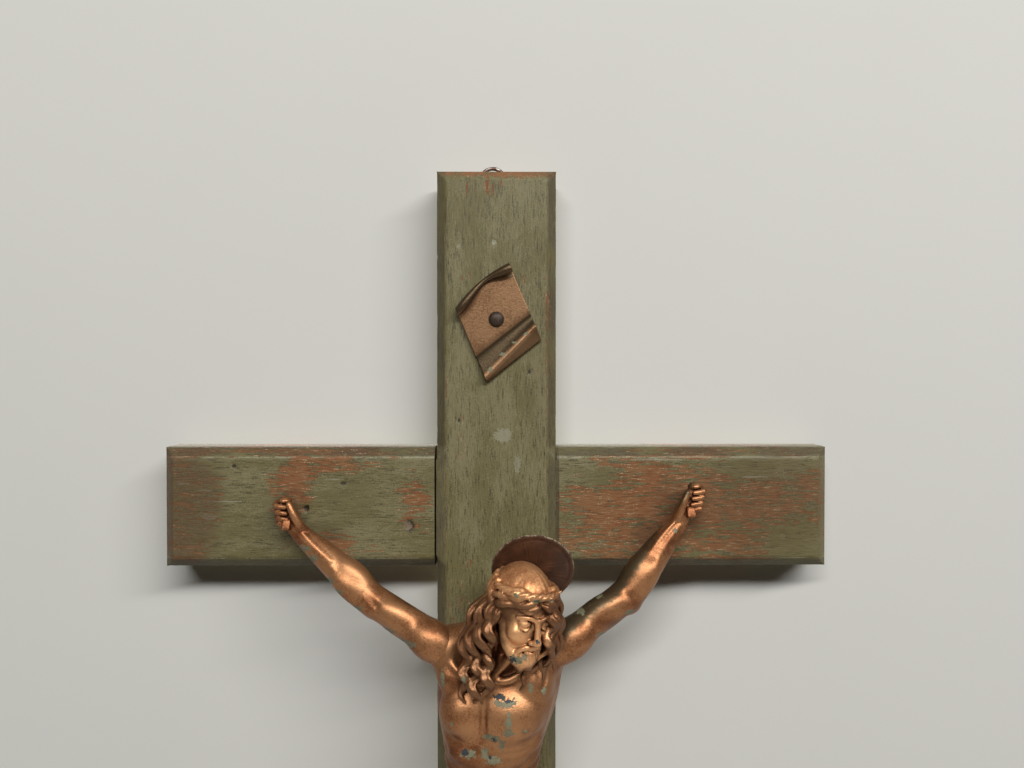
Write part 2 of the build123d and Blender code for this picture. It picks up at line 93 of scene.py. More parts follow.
def skin(name, rings, sharp=sharp_angle):
    """A closed mesh through rings of points in millimetres, with a flat cap at each end."""
    count = len(rings[0])
    points = np.array(rings, float).reshape(-1, 3) * mm
    last = len(points) - count
    faces = [tuple(range(count)), tuple(range(last, last + count))]
    for start in range(0, last, count):
        for i in range(count):
            j = (i + 1) % count
            faces.append((start + i, start + j, start + count + j, start + count + i))
    mesh = bpy.data.meshes.new(name)
    mesh.from_pydata(points.tolist(), [], faces)
    return mended(name, mesh, sharp)


def ripple(a, b, c):
    """Smooth noise between -1 and 1."""
    return noise.noise((a, b, c))


def board_ring(along, front, back, edge, end, dents, seed):
    """A board's section as points across and in depth: back, side, chamfer, face, chamfer and side."""
    slope = max(edge - end, 0)
    face_y = front + end
    side_y = front + max(edge, end)
    wear = []
    for k in range(4):
        rounded = max(ripple(along * 0.11, k * 7.3, seed), 0)
        nicked = max(ripple(along * 0.31, k * 3.1, seed) - 0.45, 0)
        wear.append(0.22 + 0.3 * rounded + 1.3 * nicked)
    left_nick, right_nick, left_side, right_side = wear
    points = [(-board_half + back_ease, back)]
    points += [(-board_half, y) for y in np.linspace(back - back_ease, side_y, 5)[:-1]]
    points.append((-board_half + left_side * 0.7, side_y))
    points += [(-board_half + slope * t, side_y + (face_y - side_y) * t) for t in (0.25, 0.5, 0.75)]
    for k, across in enumerate(np.linspace(-board_half + slope, board_half - slope, face_points)):
        depth = 0.09 * ripple(across * 0.5, along * 0.02, seed)
        depth += 0.05 * ripple(across * 1.5, along * 0.05, seed)
        for u, v, reach, deep in dents:
            far = ((across - u) ** 2 + (along - v) ** 2) / reach**2
            depth += deep * exp(-far * far) if far < 6 else 0
        depth += left_nick if k == 0 else right_nick if k == face_points - 1 else 0
        points.append((across, face_y + depth))
    points += [(board_half - slope * t, side_y + (face_y - side_y) * t) for t in (0.75, 0.5, 0.25)]
    points.append((board_half - right_side * 0.7, side_y))
    points += [(board_half, y) for y in np.linspace(side_y, back - back_ease, 5)[1:]]
    rear = np.linspace(board_half - back_ease, -board_half + back_ease, 8)[:-1]
    points += [(across, back) for across in rear]
    return points


def stopped(along):
    """The upright's chamfer, which runs out to nothing inside the crossing."""
    return chamfer * min(max((abs(along) - board_half + chamfer_stop) / chamfer_stop, 0), 1)


upright_dents = (
    (-1.1, 120.7, 1.3, 0.5), (15, 62, 1.6, 0.35), (-17, 40, 1.2, 0.4), (9, -330, 2.2, 0.4),
    (-12, -392, 1.8, 0.5),
)
upright_spans = (
    (upright_foot, -board_half, 0), (-board_half, board_half, half_board), (board_half, upright_top, 0),
)
upright_rings = []
for start, stop, back in upright_spans:
    for z in np.linspace(start, stop, round((stop - start) / board_step)):
        end = max(chamfer - (upright_top - z), chamfer - (z - upright_foot), 0)
        section = board_ring(z, board_front, back, stopped(z), end, upright_dents, seed=1.7)
        upright_rings.append([(x, y, z) for x, y in section])
upright = skin("upright_board", upright_rings)


class Value:
    """A socket of a shader: Python's operators on it add Math nodes to its material."""

    def __init__(self, tree, socket=None):
        self.tree = tree
        self.socket = socket

    def node(self, kind, settings, sockets, out=0):
        """A node of that type: its settings are set first, then its sockets' values and links."""
        made = self.tree.nodes.new("ShaderNode" + kind)
        for name, setting in settings.items():
            setattr(made, name, setting)
        for name, given in sockets.items():
            if isinstance(given, Value):
                self.tree.links.new(given.socket, made.inputs[name])
            else:
                made.inputs[name].default_value = given
        return Value(self.tree, made.outputs[out])

    def maths(self, operation, first, second=0.0):
        """A Math node on one or two values."""
        return self.node("Math", {"operation": operation}, {0: first, 1: second})

    def swing(self, amount):
        """How far this strays from a half, times an amount."""
        return (self - 0.5) * amount

    def __add__(self, other):
        return self.maths("ADD", self, other)

    def __radd__(self, other):
        return self.maths("ADD", other, self)

    def __sub__(self, other):
        return self.maths("SUBTRACT", self, other)

    def __rsub__(self, other):
        return self.maths("SUBTRACT", other, self)

    def __mul__(self, other):
        return self.maths("MULTIPLY", self, other)

    def __rmul__(self, other):
        return self.maths("MULTIPLY", other, self)

    def __abs__(self):
        return self.maths("ABSOLUTE", self)


def blank(name):
    """A new material, its shader, and the place on the object across, in depth and up in millimetres."""
    material = bpy.data.materials.new(name)
    material.use_nodes = True
    tree = material.node_tree
    place = Value(tree).node("TexCoord", {}, {}, "Object")
    spread = [place.node("SeparateXYZ", {}, {0: place}, axis) * (1 / mm) for axis in range(3)]
    return material, tree.nodes["Principled BSDF"], spread


def finish(shader, colour, roughness, height=None, metal=0.0):
    """Gives the shader its colour, roughness and metal, and a bump from a height in millimetres."""
    sockets = {"Base Color": colour, "Roughness": roughness, "Metallic": metal}
    if height is not None:
        bump = {"Height": height, "Distance": mm, "Strength": 1.0}
        sockets["Normal"] = height.node("Bump", {}, bump, "Normal")
    for name, given in sockets.items():
        if isinstance(given, Value):
            given.tree.links.new(given.socket, shader.inputs[name])
        else:
            shader.inputs[name].default_value = given


def cloud(place, sizes, detail=3, rough=0.55):
    """Soft random values about a half, in spots of these sizes in millimetres."""
    parts = {axis: value * (1 / size) for axis, (value, size) in enumerate(zip(place, sizes))}
    vector = place[0].node("CombineXYZ", {}, parts)
    texture = {"Vector": vector, "Scale": 1.0, "Detail": detail, "Roughness": rough}
    return vector.node("TexNoise", {}, texture)


def step(value, low, high):
    """0 below low and 1 above high, with a soft step between."""
    ends = {"Value": value, "From Min": low, "From Max": high}
    return value.node("MapRange", {"interpolation_type": "SMOOTHSTEP"}, ends)


def mixed(share, first, second):
    """Two colours mixed by a share."""
    colours = [c if isinstance(c, Value) else (*c, 1.0) for c in (first, second)]
    return share.node("Mix", {"data_type": "RGBA"}, {0: share, 6: colours[0], 7: colours[1]}, 2)


def patch(u, v, spot, ragged, soft=0.6):
    """1 on a patch at a place on a face, with its reach both ways, a ragged edge and that soft a rise."""
    middle_u, middle_v, reach_u, reach_v = spot
    across = (u - middle_u) * (1 / reach_u)
    along = (v - middle_v) * (1 / reach_v)
    return step(1.0 - (across * across + along * along) + ragged, 0.0, soft)


def board_paint(name, grain, bare, edge_tone, rubbed_spots, green_spots, stains_and_shadows, marks, knots=()):
    """Olive paint over primer over wood, worn through in short strokes along the grain and at the arrises.

    A spot is its place along and across the grain and its reach both ways, then any amount.
    """
    material, shader, place = blank(name)
    x, y, z = place
    along, across = (z, x) if grain == "upright" else (x, z)
    lay = (across, y, along)
    drift = cloud(lay, (12, 12, 30), 4, 0.6)
    stroke = cloud(lay, (1.2, 1.2, 10), 4, 0.62)
    fibre = cloud(lay, (0.36, 0.36, 4.5), 3, 0.6)
    speck = cloud(place, (0.7, 0.7, 0.7), 3)
    ragged = stroke.swing(1.6) + drift.swing(1.2)
    bared = drift.swing(0.5) + (bare - 0.5)
    for *spot, amount in rubbed_spots:
        bared = bared + patch(along, across, spot, ragged, 1.3) * amount
    for *spot, amount in green_spots:
        bared = bared - patch(along, across, spot, ragged, 1.3) * amount
    front = step(y, -8.0, -11.0)
    off_arris = abs(abs(across) - arris) + (1.0 - front) * chamfer
    slope = step(abs(across), arris + 0.2, arris + 0.8) * front
    bared = bared + (1.0 - step(off_arris, 0.1, 1.2)) * 0.06
    rubbed_and_highlight = step(stroke * 0.7 + fibre * 0.3 + bared, 0.53, 0.57)
    paint = mixed(step(drift + speck.swing(0.6) + fibre.swing(0.6), 0.36, 0.66), olive, olive_grey)
    paint = mixed(step(stroke + fibre.swing(0.9) + speck.swing(0.4), 0.46, 0.30) * 0.7, paint, olive_deep)
    primer = mixed(step(fibre + drift.swing(0.5), 0.40, 0.62), primer_red, primer_tan)
    primer = mixed(step(fibre + stroke.swing(0.4), 0.38, 0.28) * 0.6, primer, umber)
    colour = mixed(rubbed_and_highlight * 0.92, paint, primer)
    # The chamfers are darkened towards dark olive and near-black: dirt in part, and in part painted shade.
    dingy_and_shaded = slope * step(drift + speck.swing(0.6), 0.30, 0.60)
    colour = mixed(dingy_and_shaded * 0.75, colour, mixed(fibre, olive_deep, dirt_and_shade))
    nicks = step(fibre + speck.swing(0.6) + stroke.swing(0.4), 0.66, 0.71)
    colour = mixed(nicks * (rubbed_and_highlight * 0.75 + 0.16), colour, worn_pale)
    broken = step(cloud(lay, (2.5, 2.5, 9), 3) + speck.swing(0.5), 0.44, 0.54)
    colour = mixed((1.0 - step(off_arris, 0.10, 0.36)) * broken * 0.6, colour, edge_tone)
    pores = step(fibre + stroke.swing(0.5) + speck.swing(0.9), 0.30, 0.22)
    colour = mixed(pores * 0.65, colour, grime)
    rim = speck.swing(2.4) + drift.swing(1.5)
    # Stains are painted over the paint, and so are the painted shadows listed among them.
    for tone, soft, spots in stains_and_shadows:
        for *spot, share in spots:
            colour = mixed(patch(along, across, spot, rim, soft) * share * front, colour, tone)
    for spot in marks:
        colour = mixed(patch(along, across, spot, speck.swing(0.9)) * 0.9 * front, colour, grime)
    for middle_along, middle_across, reach in knots:
        burr = speck.swing(2.6) + stroke.swing(1.4)
        for share, tone in ((1.0, grime), (0.74, knot_grey)):
            ring = (middle_along - reach * (1 - share), middle_across, reach * share * 0.8, reach * share)
            colour = mixed(patch(along, across, ring, burr, 0.3) * 0.85 * front, colour, tone)
    height = fibre * 0.09 + stroke * 0.14 - rubbed_and_highlight * 0.10 + speck * 0.05
    finish(shader, colour, 0.50 + rubbed_and_highlight * 0.14 + speck.swing(0.2), height)
    shader.inputs["Specular IOR Level"].default_value = 0.3
    return material


upright_paint = board_paint(
    "upright_paint",
    "upright",
    bare=0.35,
    edge_tone=umber,
    rubbed_spots=(
        (145, -13, 7, 1.5, 0.45), (145, -9.5, 6, 0.9, 0.40), (146, -4, 7, 1.3, 0.45),
        (145, -1.4, 6, 0.8, 0.40), (146, 2, 5, 0.7, 0.35), (153, 0, 3.4, 60, 0.40),
        (104.8, -13.7, 4, 3, 0.22), (104.8, 11, 4, 3, 0.24), (84, 24, 40, 4, 0.14),
        (-38, -16, 20, 9, 0.16), (-26, -14, 5, 5, 0.16), (-150, 20, 60, 6, 0.16),
        (-300, -18, 90, 8, 0.18), (-410, 4, 25, 18, 0.20),
    ),
    green_spots=(),
    stains_and_shadows=(
        (chalk, 0.6, (
            (33, 3, 3.4, 4.5, 0.55), (20, 9.5, 4.4, 1.7, 0.45), (121, -1, 1.2, 1.4, 0.8),
            (119, -17, 1.2, 1.0, 0.4),
        )),
        (umber, 0.6, ((60, 20, 40, 8, 0.12),)),
    ),
    marks=((62, 15, 1.2, 0.8), (40, -17, 1.0, 0.7)),
)
upright.data.materials.append(upright_paint)
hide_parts("upright")
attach(upright, "cross")

# Crossbar: a second board of the same stock, chamfered all round its front and let into the upright's back.
# The lap was cut a little wide, so a dark seam stands open on the left.
# Its right half is rubbed down to the primer, and both halves carry dents, old nail holes and a knot.
bar_half = 152
notch_left = -28.3
screw_spread = 14
sink_radius = 4.04
sink_depth = 2.4
edge_pale = (0.30, 0.29, 0.19)
bar_dents = (
    (-39.8, -8.2, 2.4, 0.55), (-86.7, -0.4, 1.3, 1.8), (-69.4, 11.4, 1.5, 0.6), (-119.5, 19.1, 1.5, 0.7),
    (-133, -2, 1.1, 0.3), (104, 6, 1.6, 0.35), (66, -16, 1.2, 0.4), (131, -12, 1.4, 0.4),
)
bar_rings = []
bar_spans = (
    (-bar_half, notch_left, False), (notch_left, board_half, True), (board_half, bar_half, False),
)
dents = [(v, u, reach, deep) for u, v, reach, deep in bar_dents]
for start, stop, notched in bar_spans:
    for x in np.linspace(start, stop, round((stop - start) / board_step)):
        end = 0 if notched else max(chamfer - (bar_half - abs(x)), 0)
        front, edge = (half_board, 0) if notched else (board_front, chamfer)
        section = board_ring(x, front, back=0, edge=edge, end=end, dents=dents, seed=5.2)
        bar_rings.append([(x, y, z) for z, y in section])
crossbar = skin("crossbar_board", bar_rings)
# The lap screws' seats are bored into its back
drill = bmesh.new()
for side in (-1, 1):
    seat = Matrix.Translation((side * screw_spread * mm, 0, -side * screw_spread * mm))
    bmesh.ops.create_cone(
        drill,
        cap_ends=True,
        segments=48,
        radius1=sink_radius * mm,
        radius2=sink_radius * mm,
        depth=2 * sink_depth * mm,
        matrix=seat @ Matrix.Rotation(pi / 2, 4, "X"),
    )
drill_mesh = bpy.data.meshes.new("drill")
drill.to_mesh(drill_mesh)
drill.free()
drill_bit = bpy.data.objects.new("drill", drill_mesh)
bpy.context.scene.collection.objects.link(drill_bit)
crossbar.modifiers.new("screw_seats", "BOOLEAN").object = drill_bit
bored = crossbar.evaluated_get(bpy.context.evaluated_depsgraph_get())
crossbar.data = bpy.data.meshes.new_from_object(bored)
crossbar.modifiers.clear()
bpy.data.objects.remove(drill_bit)
crossbar.data.set_sharp_from_angle(angle=radians(sharp_angle))
crossbar_paint = board_paint(
    "crossbar_paint",
    "crossbar",
    bare=0.41,
    edge_tone=edge_pale,
    rubbed_spots=(
        (92, -2, 84, 34, 0.28), (62, 4, 34, 22, 0.12), (-93, 8, 14, 20, 0.26), (-78, 19, 26, 7, 0.24),
        (-37, 7, 11, 10, 0.22), (-36, -8, 10, 7, 0.24), (-76, -16, 13, 8, 0.26), (-143, 4, 26, 26, 0.14),
        (-138, -18, 24, 8, 0.10), (-95, 25.8, 80, 3.4, 0.26), (95, 25.8, 60, 3.4, 0.14),
    ),
    green_spots=(
        (-114, 0, 13, 30, 0.10), (-64, -2, 18, 15, 0.08), (118, 19, 26, 7, 0.20), (38, 16, 14, 8, 0.18),
        (134, -16, 16, 9, 0.20),
    ),
    stains_and_shadows=(
        (chalk, 0.6, (
            (-142, 11, 3, 0.4, 0.6), (-132.5, 8, 4, 0.5, 0.6), (-124, 3, 12, 0.35, 0.6),
            (-130.5, -4, 4, 1.8, 0.4), (-74, 13, 5, 0.4, 0.5), (74, 22, 14, 0.5, 0.5),
            (118, 14, 8, 0.6, 0.5),
        )),
        (umber, 0.6, ((-142, 0, 20, 32, 0.62), (124, 2, 34, 32, 0.40))),
        (dirt_and_shade, 0.6, ((28.1, 0, 0.7, 40, 0.7),)),
        # Dark soft patches round the fists and along the arms: painted shadow.
        (dirt_and_shade, 2.0, (
            (-95, 0, 13, 11, 0.8), (-79, -11, 13, 8, 0.8), (79, 3, 12, 12, 0.8), (70, -12, 12, 12, 0.8),
            (91, -8, 10, 8, 0.6),
        )),
    ),
    marks=((-86.7, -0.4, 1.5, 1.5), (-119.5, 19.1, 1.3, 1.0), (-69.8, 11.2, 1.6, 0.9)),
    knots=((-39.8, -8.2, 3.2),),
)
crossbar.data.materials.append(crossbar_paint)
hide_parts("crossbar")
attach(crossbar, "cross")

# Screws and pins: dull steel, in the CAD's own forms.
# Two lap screws hold the boards from behind, with their heads in the seats in the crossbar's back.
# Two screws hold the hanger, and pins carry the arms and the halo.
steel = (0.40, 0.38, 0.35)
steel_dull = (0.20, 0.17, 0.14)
rust = (0.17, 0.075, 0.030)


def plain_steel(name, tarnish, dull=steel_dull):
    """Dull plated steel with tarnish in clouds and rust in spots."""
    material, shader, place = blank(name)
    film = cloud(place, (4, 4, 4), 4)
    spots = cloud(place, (1.1, 1.1, 1.1), 3)
    scratch = cloud(place, (0.25, 0.25, 6), 2)
    colour = mixed(step(film, 0.3, 0.55) * tarnish, steel, dull)
    colour = mixed(step(spots + film.swing(0.6), 0.62, 0.74) * tarnish, colour, rust)
    roughness = 0.34 + film * 0.2 + scratch.swing(0.15)
    metal = 1.0 - step(spots + film.swing(0.6), 0.6, 0.75) * 0.7
    height = scratch * 0.015 + spots * 0.02
    finish(shader, colour, roughness, height, metal)
    return material


screw_steel = plain_steel("screw_steel", tarnish=0.9)
for name in ("lap_screws", "hanger_screws", "shoulder_pins", "halo_pin"):
    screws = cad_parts[name]
    screws.data.materials.clear()
    screws.data.materials.append(screw_steel)

# Title scroll: a pressed sheet, rolled over along its top edge and folded at its foot.
# Its lip is bent in an S and its paint is browner than the figure's.
# It hangs on one nail, which it can turn on.
scroll_height = 85.8
scroll_half = 15.75
scroll_fall = 20.4
scroll_sheet = 1.2
scroll_flat = 1.6
scroll_turn = radians(38)
scroll_skew = tan(radians(15))
scroll_columns = 61
ridge_middle = -15.6
ridge_lean = 2.2
curl_points = 15

scroll_rows = []
for t in np.linspace(-1, 1, scroll_columns):
    curl = 1.6 - 0.68 * cos(pi * (t - 0.1) / 0.8)
    top = 18.2 - 2.1 * t * t + 0.6 * t
    lip = top - curl - scroll_sheet * 0.5
    sweep = radians(238 + 12 * sin(2.5 * t))
    ridge = ridge_middle + ridge_lean * t
    wave = 0.12 * sin(4.2 * t + 0.5)
    profile = [
        (-scroll_fall + 0.3, 1.05),
        ((ridge - scroll_fall) * 0.5, 2.35),
        (ridge - 0.6, 3.35 + wave),
        (ridge, 3.55 + wave),
        (ridge + 0.7, 3.20 + wave),
        (ridge * 0.5 - 4.4, 1.75),
        (-9.2, 0.95),
        (-7.8, 1.0),
        (-6.6, scroll_flat + 0.1),
        (-5.2, scroll_flat + 0.05),
        (0, scroll_flat),
        (lip * 0.5, scroll_flat),
        (lip * 0.85, scroll_flat + 0.02),
    ]
    for k in range(curl_points):
        turn = sweep * k / (curl_points - 1)
        tight = curl * (1 - 0.2 * k / (curl_points - 1))
        profile.append((lip + tight * sin(turn), scroll_flat + curl - tight * cos(turn)))
    row = []
    for rise, stand in profile:
        u = t * scroll_half + rise * scroll_skew
        x = u * cos(scroll_turn) - rise * sin(scroll_turn)
        z = scroll_height + u * sin(scroll_turn) + rise * cos(scroll_turn)
        row.append((x, board_front - stand, z))
    scroll_rows.append(row)


def sheet(name, rows, thickness):
    """A thin sheet through rows of points in millimetres, with rounded edges and soft bends."""
    count = len(rows[0])
    faces = [
        (r * count + i, r * count + i + 1, (r + 1) * count + i + 1, (r + 1) * count + i)
        for r in range(len(rows) - 1)
        for i in range(count - 1)
    ]
    mesh = bpy.data.meshes.new(name)
    mesh.from_pydata((np.array(rows).reshape(-1, 3) * mm).tolist(), [], faces)
    piece = mended(name, mesh, sharp=50)
    thick = piece.modifiers.new("sheet", "SOLIDIFY")
    thick.thickness = thickness * mm
    thick.offset = 0
    soft = piece.modifiers.new("bends", "SUBSURF")
    soft.levels = 1
    soft.render_levels = 1
    return piece


scroll = sheet("title_sheet", scroll_rows, scroll_sheet * 0.8)

bronze = (0.200, 0.070, 0.0255)
bronze_bright = (0.365, 0.177, 0.080)
bronze_deep = (0.056, 0.0185, 0.0068)
bronze_crease_shade = (0.018, 0.010, 0.006)
metal_grey = (0.190, 0.183, 0.112)
metal_dark = (0.012, 0.016, 0.022)
flake_size = 0.9


def bronze_paint(name, chips, dark_chips=(), shade=0.0, tones=(bronze, bronze_bright), soot_and_shade=None):
    """Bronze paint on a casting, chipped to grey or dark metal, with painted shade in hollows and painted
    light where open.
    """
    material, shader, place = blank(name)
    x, _, z = place
    drift = cloud(place, (14, 14, 14), 3)
    speck = cloud(place, (0.8, 0.8, 0.8), 4, 0.6)
    fine = cloud(place, (0.30, 0.30, 0.30), 2)
    hollow, crease = (
        x.node("AmbientOcclusion", {"samples": 8, "only_local": True}, {"Distance": reach * mm}, "AO")
        for reach in (6.0, 1.6)
    )
    mottle = drift + speck.swing(0.6) + fine.swing(0.5)
    # The two tones mix at random and by how open the surface is, so open places are lighter and hollows
    # darker: painted light and shade.
    colour = mixed(step(mottle + (hollow - 0.8) * 0.5 - shade, 0.38, 0.72), *tones)
    colour = mixed(step(drift - shade, 0.46, 0.30) * 0.3, colour, bronze_deep)
    # Hollows and creases are darkened towards near-black: painted shade in part, and in part the dirt that
    # lies in them.
    colour = mixed(step(hollow + speck.swing(0.15), 0.82, 0.34) * 0.85, colour, bronze_deep)
    colour = mixed(step(crease + speck.swing(0.25), 0.72, 0.28) * 0.9, colour, bronze_crease_shade)
    # An overlay darkens the paint where a mask says: dirt on the right arm, and painted shade on the body
    # and the scroll.
    if soot_and_shade:
        darkening_share, darkening_tone = soot_and_shade
        colour = mixed(darkening_share(place) * (0.8 + speck * 0.4), colour, darkening_tone)
    scaled = x.node("CombineXYZ", {}, {axis: part * (1 / flake_size) for axis, part in enumerate(place)})
    flakes = x.node("TexVoronoi", {}, {"Vector": scaled, "Scale": 1.0}, "Color")
    ragged = flakes.swing(1.5) + cloud(place, (2.4, 6.0, 2.4), 4, 0.6).swing(1.6)
    lost = step(speck + drift.swing(0.8), 0.78, 0.80) * 0.5
    dark = 0.0
    for spot in chips:
        lost = lost.maths("MAXIMUM", lost, patch(x, z, spot, ragged))
    for spot in dark_chips:
        dark = lost.maths("MAXIMUM", dark, patch(x, z, spot, ragged))
    lost = lost.maths("MAXIMUM", lost, dark)
    bare = step(lost, 0.30, 0.38)
    # A ring round each chip is painted in the bright tone: a painted highlight on the paint's broken edge.
    lip = step(lost, 0.10, 0.28) - bare
    colour = mixed(lip.maths("MAXIMUM", lip, 0.0) * 0.5, colour, bronze_bright)
    scuffed = mixed(step(speck, 0.40, 0.66), metal_grey, tuple(c * 0.7 for c in metal_grey))
    colour = mixed(bare * 0.95, colour, scuffed)
    if dark_chips:
        colour = mixed(step(dark, 0.30, 0.40) * 0.95, colour, metal_dark)
    roughness = 0.40 + speck.swing(0.25) + bare * 0.2 + step(hollow, 0.8, 0.3) * 0.2
    metal = 0.80 - bare * 0.62
    height = speck * 0.08 + fine * 0.03 - bare * 0.10
    finish(shader, colour, roughness, height, metal)
    return material


def scroll_shade_and_dirt(place):
    """Painted shade under the rolled lip and on the face below the ridge, with dirt and painted shade in
    the fold.
    """
    rise = (place[2] - scroll_height) * cos(scroll_turn) - place[0] * sin(scroll_turn)
    across = (place[2] - scroll_height) * sin(scroll_turn) + place[0] * cos(scroll_turn)
    ridge = (across - rise * scroll_skew) * (ridge_lean / scroll_half) + ridge_middle
    rolled = step(rise, 11.5, 13.0) * step(place[1], -21.0, -21.9)
    folded = step(rise, -6.8, -8.0) * step(rise - ridge, 0.5, 2.2)
    foot = step(rise - ridge, -0.6, -2.0)
    return rolled * 0.85 + folded * 0.92 + foot * 0.45


scroll_chips = (
    (13.4, 79.2, 1.2, 0.8), (8.4, 75.4, 1.4, 0.6), (3.0, 70.0, 1.6, 0.9), (-2.6, 63.0, 0.9, 1.4),
    (6.8, 105.4, 0.8, 0.6),
)
scroll_shade_and_dirt_tone = (0.034, 0.024, 0.011)
scroll_tones = ((0.156, 0.078, 0.036), (0.250, 0.138, 0.070))
# The scroll's paint is darkened under the roll, in the fold and below the ridge: painted shade, with dirt
# in the fold.
scroll_paint = bronze_paint(
    "scroll_paint",
    scroll_chips,
    tones=scroll_tones,
    soot_and_shade=(scroll_shade_and_dirt, scroll_shade_and_dirt_tone),
)
scroll.data.materials.append(scroll_paint)
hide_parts("title_scroll")
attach(scroll, "scroll")

# Title nail: a round-headed forged nail of dark iron, the pivot of the scroll.
# Its low dome is uneven from the hammer.
dome_radius = 3.5
dome_height = 2.1
dome_back = -21.28
shank_radius = 1.1
nail_tip = -9.3
nail_angles = np.linspace(0, 2 * pi, 40, endpoint=False)


def turned(name, profile, middle, uneven):
    """A turned form about an axis along the depth, from pairs of radius and depth in millimetres."""
    rings = []
    for k, (radius, depth) in enumerate(profile):
        ring = []
        for angle in nail_angles:
            wide = radius * (1 + uneven * ripple(cos(angle) * 1.3, sin(angle) * 1.3, k * 0.2))
            ring.append((middle[0] + wide * cos(angle), depth, middle[1] + wide * sin(angle)))
        rings.append(ring)
    return skin(name, rings)


dome = [
    (dome_radius * cos(a), dome_back - dome_height * sin(a))
    for a in np.linspace(pi / 2 - 0.05, 0.0, 12)
]
under_head = dome_back + 0.02
shank = [(dome_radius * 0.9, under_head), (shank_radius, under_head), (shank_radius, nail_tip)]
title_nail = turned("title_dome", dome + shank, middle=(0, scroll_height), uneven=0.04)
iron = (0.026, 0.014, 0.008)
iron_worn = (0.060, 0.033, 0.019)
material, shader, place = blank("title_nail_iron")
film = cloud(place, (1.4, 1.4, 1.4), 4)
worn = step(film, 0.48, 0.7)
finish(shader, mixed(worn, iron, iron_worn), 0.42 + film * 0.25, film * 0.12, metal=0.3)
title_nail.data.materials.append(material)
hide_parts("title_nail")
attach(title_nail, "cross")

# Hanger: a strap folded from sheet steel round a wire ring and screwed to the upright's back.
# The ring swings in the strap's knuckle, and its tip stands above the top edge.
hanger_brown = (0.105, 0.060, 0.040)
hanger_steel = plain_steel("hanger_steel", tarnish=1.0, dull=hanger_brown)
for name in ("hanger_strap", "hanger_ring"):
    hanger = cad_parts[name]
    hanger.data.materials.clear()
    hanger.data.materials.append(hanger_steel)

